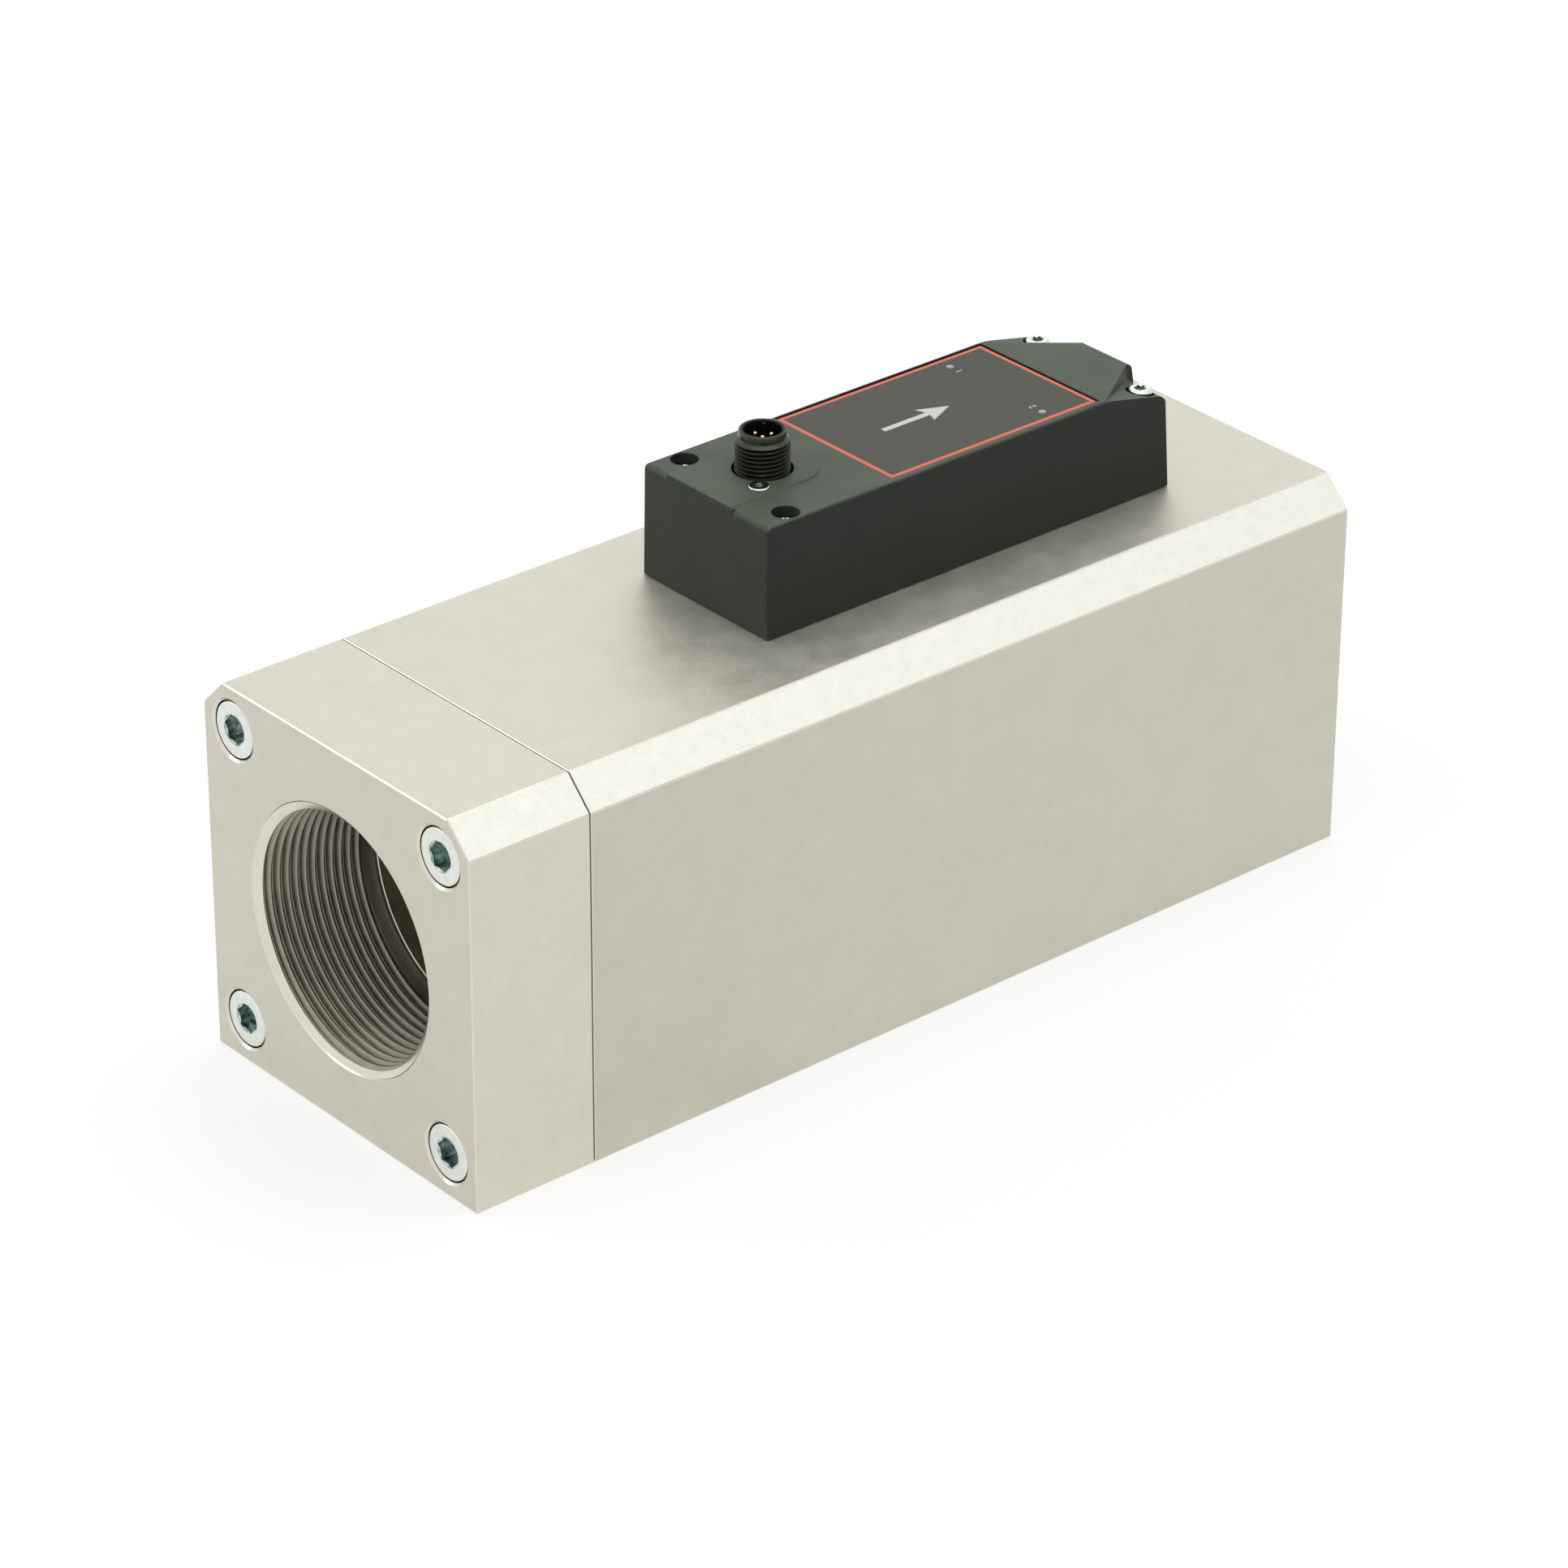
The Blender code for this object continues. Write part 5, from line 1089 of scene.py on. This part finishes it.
def ledgeCutter():
    # a skin that follows the raised middle's wall, with a rounded edge above and a fillet at its foot
    start, narrow = cover.length - cover.ledgeLength, cover.length - cover.ledgeRear
    above, wide = coverTop + 0.04, 24.0
    rings = []
    for distance in ledgeDistances(start):
        share = min(1.0, max(-0.05, (distance - start) / (narrow - start)))
        drop = max(0.02, above - ledgeZ(distance))
        edge, foot = min(cover.ledgeEdge, drop * 0.4), min(cover.ledgeFoot, drop * 0.45)
        draft = 0.05 + cover.ledgeDraft * drop
        halves = []
        for endHalf in (cover.ledgeTop, cover.ledgeFarTop):
            wall = cover.halfWidth + (endHalf - cover.halfWidth) * share
            half = [
                (wall - edge * (1 - sine), above - edge * (1 - cosine)) for sine, cosine in quarterRound(5)
            ]
            half += [
                (wall + draft + foot * (1 - cosine), above - drop + foot * (1 - sine))
                for sine, cosine in quarterRound(5)
            ]
            halves.append(half + [(wide, above - drop)])
        ring = [(-y, z) for y, z in reversed(halves[0])] + halves[1]
        ring += [(wide, coverTop + 3.0), (-wide, coverTop + 3.0)]
        rings.append([(cover.frontX + distance, y, z) for y, z in ring])
    return capped(rings)


def padBlock():
    # the low raised pad round the connector: its front edge stays crisp where the cover's corners are rounded
    front = cover.frontX + cover.frontDraft - 0.02
    half, corner, rise, slope = cover.padHalfWidth, cover.padCorner, cover.padRise, cover.padSlope
    centreX, middleY = connectorPlace[0] + cover.padBack - corner, connectorPlace[1]
    rounds = quarterRound(cover.padSteps)
    levels = []
    for outwards, inward, z in (
        (slope, 0.0, -4.0), (slope, 0.02, 0.0), (slope * 0.55, 0.02, rise * 0.22),
        (slope * 0.22, 0.07, rise * 0.70), (slope * 0.02, 0.20, rise * 0.93), (-slope * 0.2, 0.42, rise),
    ):
        radius = corner + outwards
        outline = [(front + inward, middleY - half - outwards)]
        for side, turns in ((-1, rounds), (1, rounds[::-1])):
            for sine, cosine in turns:
                y = middleY + side * (half - corner + radius * cosine)
                outline.append((centreX + radius * sine, y))
        outline.append((front + inward, middleY + half + outwards))
        levels.append((outline, coverTop + z))
    return stack(levels)


def flaredBore(radius, flare, topZ, bottomZ, facets, place):
    # a bore whose rim rolls over into the face
    profile = [(0.0, bottomZ), (radius, bottomZ), (radius, topZ - flare)]
    for i, (sine, cosine) in enumerate(quarterRound(4)[1:], 1):
        profile.append((radius + flare * (1 - cosine), topZ - flare * (1 - sine) + 0.004 * i))
    return turned(profile + [(radius + flare + 0.1, topZ + 3.0), (0.0, topZ + 3.0)], facets, place)


def labelPocket():
    near, wide = cover.nearGap, cover.labelGap
    low = (labelLow.x - near, labelLow.y - near, labelLow.z - cover.lowGap)
    return box(low, (labelHigh.x + wide, labelHigh.y + wide, coverTop + 2))


def screwBores():
    bores = []
    seat, facets = cover.seatZ, cover.boreFacets
    for place in coverScrewPlaces:
        if place[0] < 0:
            bores.append(flaredBore(cover.boreRadius, cover.boreFlare, coverTop, seat, facets, place))
        else:
            bores.append(rod(cover.rearBore, seat, coverTop + 2, facets, place))
        bores.append(rod(cover.holeRadius, cover.footZ - 2, coverTop, 32, place))
    return bores


def connectorOpenings():
    padTop = coverTop + cover.padRise
    return [
        flaredBore(cover.connectorHole, cover.connectorFlare, padTop, roofZ - 1, 96, connectorPlace),
        rod(cover.screwHole, roofZ - 1, coverTop, 32, connectorScrewPlace),
        rod(cover.screwSeat, padTop - cover.screwSink, coverTop + 3, 48, connectorScrewPlace),
    ]


def coverHollow():
    # the room inside leaves the screw columns and a roof under the rear ledge
    columns = [rod(cover.columnRadius, cover.footZ - 4, coverTop, 40, place) for place in coverScrewPlaces]
    below = box((cover.rearRoofX, -25.0, cover.rearRoof), (95.0, 25.0, coverTop))
    return carve(draftedBox(cover.wall, cover.footZ - 2, roofZ), below, *columns)


def gasketStep():
    ring = coverBox(cover.gasketOuter, cover.footZ - 2, cover.footZ + cover.gasketDepth)
    return carve(ring, coverBox(cover.gasketInner, cover.footZ - 4, cover.footZ + 4))


coverMesh = carve(
    carve(roundedShell(), padBlock(), operation="UNION"),
    ledgeCutter(),
    labelPocket(),
    *screwBores(),
    *connectorOpenings(),
    *[rod(cover.ledHole, roofZ - 1, coverTop, 32, place) for place in ledPlaces],
    coverHollow(),
    gasketStep(),
)
finishPiece(
    "electronicsCover", coverMesh, ["matBlackMoulding"], ["electronics_cover"], "cover_plastic",
    sharp=32.0, weighted=True,
)


# Label plate and light windows

label = Sizes(
    border=1.0, edge=0.08, printRise=0.015, printSink=0.01, numberHeight=2.6, numberShift=3.1,
    arrowLength=19.0, arrowShaft=1.5, arrowHead=6.4, arrowHeadLength=6.2, arrowBarb=0.9, arrowShift=-6.0,
)
window = Sizes(radius=0.9, edge=((0.0, 0.1), (0.04, 0.03), (0.12, 0.0)), facets=40)


def labelMesh():
    low, high = labelLow, labelHigh
    edge, border = label.edge, label.border
    rings = []
    for inwards, z in ((0.0, low.z), (0.0, high.z - edge), (edge, high.z), (border, high.z)):
        (x1, x2), (y1, y2) = (low.x + inwards, high.x - inwards), (low.y + inwards, high.y - inwards)
        rings.append([(x2, y2, z), (x1, y2, z), (x1, y1, z), (x2, y1, z)])
    holes = [rod(cover.ledHole, low.z - 1, high.z + 1, 40, place) for place in ledPlaces]
    mesh = carve(capped(rings), *holes)
    for face in mesh.polygons:
        x, y, z = face.center
        atBorder = min(high.x - x, x - low.x, high.y - y, y - low.y) < border
        face.material_index = int(atBorder and z > low.z + 0.1 and abs(face.normal.z) > 0.05)
    return mesh


def arrowMesh(lowZ, highZ):
    length, shaft, head = label.arrowLength, label.arrowShaft / 2, label.arrowHead / 2
    neck = length - label.arrowHeadLength
    barb = neck - label.arrowBarb
    arrow = [(0, -shaft), (neck, -shaft), (barb, -head), (length, 0), (barb, head), (neck, shaft), (0, shaft)]
    startX = (labelLow.x + labelHigh.x) / 2 - length / 2 + label.arrowShift
    return prism([(startX + x, y) for x, y in arrow], lowZ, highZ)


def numberMesh(number, x, y, lowZ, highZ):
    curve = bpy.data.curves.new("number", "FONT")
    curve.body, curve.size, curve.extrude = str(number), label.numberHeight, (highZ - lowZ) / 2
    curve.align_x, curve.align_y = "CENTER", "CENTER"
    middleY = y - math.copysign(label.numberShift, y)
    spot = Matrix.Translation((x, middleY, (lowZ + highZ) / 2)) @ Matrix.Rotation(math.pi / 2, 4, "Z")
    return moved(baked(newObject("number", curve)), spot)


def printMesh():
    # thin raised print: a flow arrow along the bore and a number beside each light
    levels = (labelHigh.z - label.printSink, labelHigh.z + label.printRise)
    shape = bmesh.new()
    shape.from_mesh(arrowMesh(*levels))
    for number, (x, y) in enumerate(ledPlaces, 1):
        shape.from_mesh(numberMesh(number, x, y, *levels))
    return meshFrom(shape)


def windowMesh(node):
    low, high = corners(node)
    edge = [(window.radius - inwards, high.z - below) for inwards, below in window.edge]
    profile = [(0.0, low.z), (window.radius, low.z)] + edge + [(0.0, high.z)]
    return turned(profile, window.facets, nodeMiddle(node))


finishPiece("labelPlate", labelMesh(), ["labelFilm", "labelBorder"], ["label_plate"], "label", sharp=20.0)
finishPiece("labelPrint", printMesh(), ["labelPrint"], [], "label", sharp=20.0)
for number, node in enumerate(numbered("led_window", 2), 1):
    finishPiece("ledWindow%d" % number, windowMesh(node), ["ledLens"], [node], "lens")


# Cable connector

connector = Sizes(
    crest=6.0, footRadius=7.0, footZ=104.2, plateLow=109.9, plateHigh=112.4, plateCorner=1.5, plateHole=5.2,
    threadFoot=113.95, threadTop=123.55, threadEdge=0.55, neckRadius=5.02, neckZ=124.28,
    collarRadius=5.15, collarFoot=0.13, collarRise=0.2, collarRound=0.34, topZ=125.9, socketRadius=4.15,
    mouthEdge=0.22, keyWidth=0.9, keyInner=3.25, keyOuter=4.65, keyCorner=0.25, keyLow=117.7, keyHigh=125.5,
    insertTop=117.4, insertRadius=3.85, insertEdge=0.15, pinHole=0.8, screwHole=1.4, facets=144,
    plateCut=(105.0, 115.0), pinCut=(100.0, 120.0), screwCut=(108.0, 114.0),
)
connectorThread = Sizes(radius=6.0, pitch=1.0, turns=10.6, stepsPerTurn=72, runIn=0.3, runOut=0.05)
connectorGroove = [(0.3, 0.36), (0.0, 0.36), (-0.04, 0.33), (-0.52, 0.09), (-0.58, 0.0), (-0.52, -0.09),
                   (-0.04, -0.33), (0.0, -0.36), (0.3, -0.36)]
contactPin = Sizes(pinRadius=0.5, pinLength=23.15, facets=24, direction=upward)
pinNodes = numbered("connector_pin", 5)
pinPlaces = [nodeMiddle(node) for node in pinNodes]
pinTop = corners("connector_pin_1")[1].z


def shellProfile():
    crest, socket = connector.crest, connector.socketRadius
    collar, top = connector.collarRadius, connector.topZ
    lip, foot, mouth = connector.collarRound, connector.collarFoot, connector.mouthEdge
    profile = [
        (socket, connector.footZ), (connector.footRadius, connector.footZ),
        (connector.footRadius, connector.plateLow), (crest, connector.plateLow), (crest, connector.threadTop),
        (crest - connector.threadEdge, connector.threadTop + connector.threadEdge * 0.6),
        (connector.neckRadius, connector.neckZ - 0.1), (connector.neckRadius, connector.neckZ),
    ]
    rise = connector.neckZ + connector.collarRise
    profile += [(collar - foot * (1 - sine), rise - foot * cosine) for sine, cosine in quarterRound(4)]
    profile += [(collar - lip * (1 - cosine), top - lip * (1 - sine)) for sine, cosine in quarterRound(6)]
    return profile + [(socket + mouth, top), (socket, top - mouth)]


def shellPlate():
    low, high = corners("connector_shell")
    half = (high.x - low.x) / 2
    outline = roundedOutline((-half, -half), (half, half), connector.plateCorner, 6)
    plate = prism(outline, connector.plateLow, connector.plateHigh)
    return carve(plate, rod(connector.plateHole, *connector.plateCut, 96))


def shellKey():
    half = connector.keyWidth / 2
    outline = roundedOutline((connector.keyInner, -half), (connector.keyOuter, half), connector.keyCorner, 5)
    return moved(prism(outline, connector.keyLow, connector.keyHigh), Matrix.Rotation(math.pi / 4, 4, "Z"))


def shellMesh():
    lift = Matrix.Translation((0, 0, connector.threadFoot))
    spiral = moved(threadGroove(connectorGroove, connectorThread), lift)
    mesh = carve(turned(shellProfile(), connector.facets, closed=True), spiral)
    for addition in (shellPlate(), shellKey()):
        mesh = carve(mesh, addition, operation="UNION")
    for face in mesh.polygons:
        # painted highlight: the thread's crests and the collar get a paler black than the grooves and the
        # socket
        points = [mesh.vertices[i].co for i in face.vertices]
        reach, low = min(math.hypot(point.x, point.y) for point in points), min(point.z for point in points)
        crest = reach > connector.crest - 0.06 and low > connector.plateHigh - 0.01
        innermost = connector.collarRadius - connector.collarRound - 0.01
        collarWall = reach > innermost and low > connector.threadTop - 0.05
        face.material_index = 1 if crest or collarWall else 0
    mesh = moved(mesh, Matrix.Translation((*connectorPlace, 0.0)))
    return carve(mesh, rod(connector.screwHole, *connector.screwCut, 24, connectorScrewPlace))


def insertMesh():
    radius, edge = connector.insertRadius, connector.insertEdge
    low, high = connector.footZ, connector.insertTop
    profile = [(0.0, low), (radius, low), (radius, high - edge), (radius - edge, high), (0.0, high)]
    holes = [rod(connector.pinHole, *connector.pinCut, 24, place) for place in pinPlaces]
    return carve(turned(profile, 96, connectorPlace), *holes)


finishPiece(
    "connectorShell", shellMesh(), ["satinBlack", "paintedHighlightBlack"], ["connector_shell"], "connector_black",
    sharp=34.0, weighted=True,
)
finishPiece("connectorInsert", insertMesh(), ["insertBlack"], ["connector_insert"], "insert_black")
pinPoints = pointMesh([(x, y, pinTop) for x, y in pinPlaces], [0.0] * len(pinPlaces))
pinMesh = grow("connectorPins", pinTree(contactPin), pinPoints, contactPin, finish="contactGold")
finishPiece("connectorPins", pinMesh, [], pinNodes, "gold")


# Pieces that keep their frame shape and get their finish here

keptFinishes = {
    "sealRubber": ["flange_o_ring", "probe_o_ring", "cover_gasket", "connector_seal"],
    "boardGreen": ["circuit_board"],
    "brass": numbered("board_standoff", 4),
    "stainless": ["retaining_ring"] + numbered("probe_screw", 2) + numbered("board_screw", 4),
    "probePlastic": ["probe_header"],
}
for key, nodes in keptFinishes.items():
    for node in nodes:
        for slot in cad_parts[node].material_slots:
            slot.material = finishes[key]
print("kept pieces finished")


# Floor, light and camera

stage = Sizes(
    floorHalf=6.0, worldDiffuse=0.55, worldSeen=1.0, floorColour=0.55, floorGlow=0.55,
    lampTarget=(0.0, 0.0, 0.06),
    lamps=dict(
        topLamp=Sizes(place=(0.05, -0.10, 1.45), size=1.4, energy=6.3),
        backLamp=Sizes(place=(0.80, 0.90, 0.80), size=1.2, energy=0.9),
        sideLamp=Sizes(place=(0.75, -0.62, 1.05), size=0.9, energy=0.5),
        leftLamp=Sizes(place=(-0.62, 0.86, 0.80), size=0.7, energy=1.5),
    ),
)
view = Sizes(
    place=(-0.773545, -0.901229, 0.691887), ahead=(0.569604, 0.665699, -0.482075),
    up=(0.310174, 0.369056, 0.876122), lens=142.244, sensor=36.0, clipStart=0.05, clipEnd=20.0,
)
white = (1.0, 1.0, 1.0, 1.0)


def backgroundShare(wires):
    # 1 where the camera, a gloss or a glass looks
    path = wires.tree.nodes.new("ShaderNodeLightPath")
    kinds = ("Is Camera Ray", "Is Glossy Ray", "Is Transmission Ray")
    seen = [Field(wires, path.outputs[kind]) for kind in kinds]
    return wires.maths("MINIMUM", seen[0] + seen[1] + seen[2], 1.0)


def lightWorld():
    world = bpy.data.worlds.new("studio")
    bpy.context.scene.world = world
    world.use_nodes = True
    wires = Wires(world.node_tree)
    background = world.node_tree.nodes["Background"]
    strength = stage.worldDiffuse + backgroundShare(wires) * (stage.worldSeen - stage.worldDiffuse)
    wires.feed(background.inputs["Strength"], strength)
    background.inputs["Color"].default_value = white


def paleFinish():
    made = bpy.data.materials.new("paleFloor")
    made.use_nodes = True
    nodes = made.node_tree.nodes
    nodes.remove(nodes["Principled BSDF"])
    wires = Wires(made.node_tree)
    matt = wires.put("ShaderNodeBsdfDiffuse", {"Color": (stage.floorColour,) * 3 + (1.0,)})
    strength = backgroundShare(wires) * stage.floorGlow
    glow = wires.put("ShaderNodeEmission", {"Color": white, "Strength": strength})
    both = wires.put("ShaderNodeAddShader", {0: matt, 1: glow})
    wires.feed(nodes["Material Output"].inputs["Surface"], both)
    return made


def layFloor():
    far = stage.floorHalf
    floorMesh = bpy.data.meshes.new("floor")
    floorMesh.from_pydata([(-far, -far, 0), (far, -far, 0), (far, far, 0), (-far, far, 0)], [], [(0, 1, 2, 3)])
    floorMesh.materials.append(paleFinish())
    newObject("floor", floorMesh)


def hangLamp(name, sizes):
    data = bpy.data.lights.new(name, "AREA")
    data.shape, data.size, data.energy = "DISK", sizes.size, sizes.energy
    lamp = newObject(name, data)
    lamp.location = sizes.place
    lamp.rotation_euler = (Vector(stage.lampTarget) - lamp.location).to_track_quat("-Z", "Y").to_euler()


def setCamera():
    data = bpy.data.cameras.new("camera")
    data.lens, data.sensor_width = view.lens, view.sensor
    data.clip_start, data.clip_end = view.clipStart, view.clipEnd
    camera = newObject("camera", data)
    ahead = Vector(view.ahead).normalized()
    right = ahead.cross(Vector(view.up)).normalized()
    basis = Matrix((right, right.cross(ahead), -ahead)).transposed().to_4x4()
    camera.matrix_world = Matrix.Translation(view.place) @ basis
    bpy.context.scene.camera = camera


lightWorld()
layFloor()
for name, sizes in stage.lamps.items():
    hangLamp(name, sizes)
setCamera()
bpy.context.scene.view_settings.view_transform = "Standard"
print("stage, light and camera done")
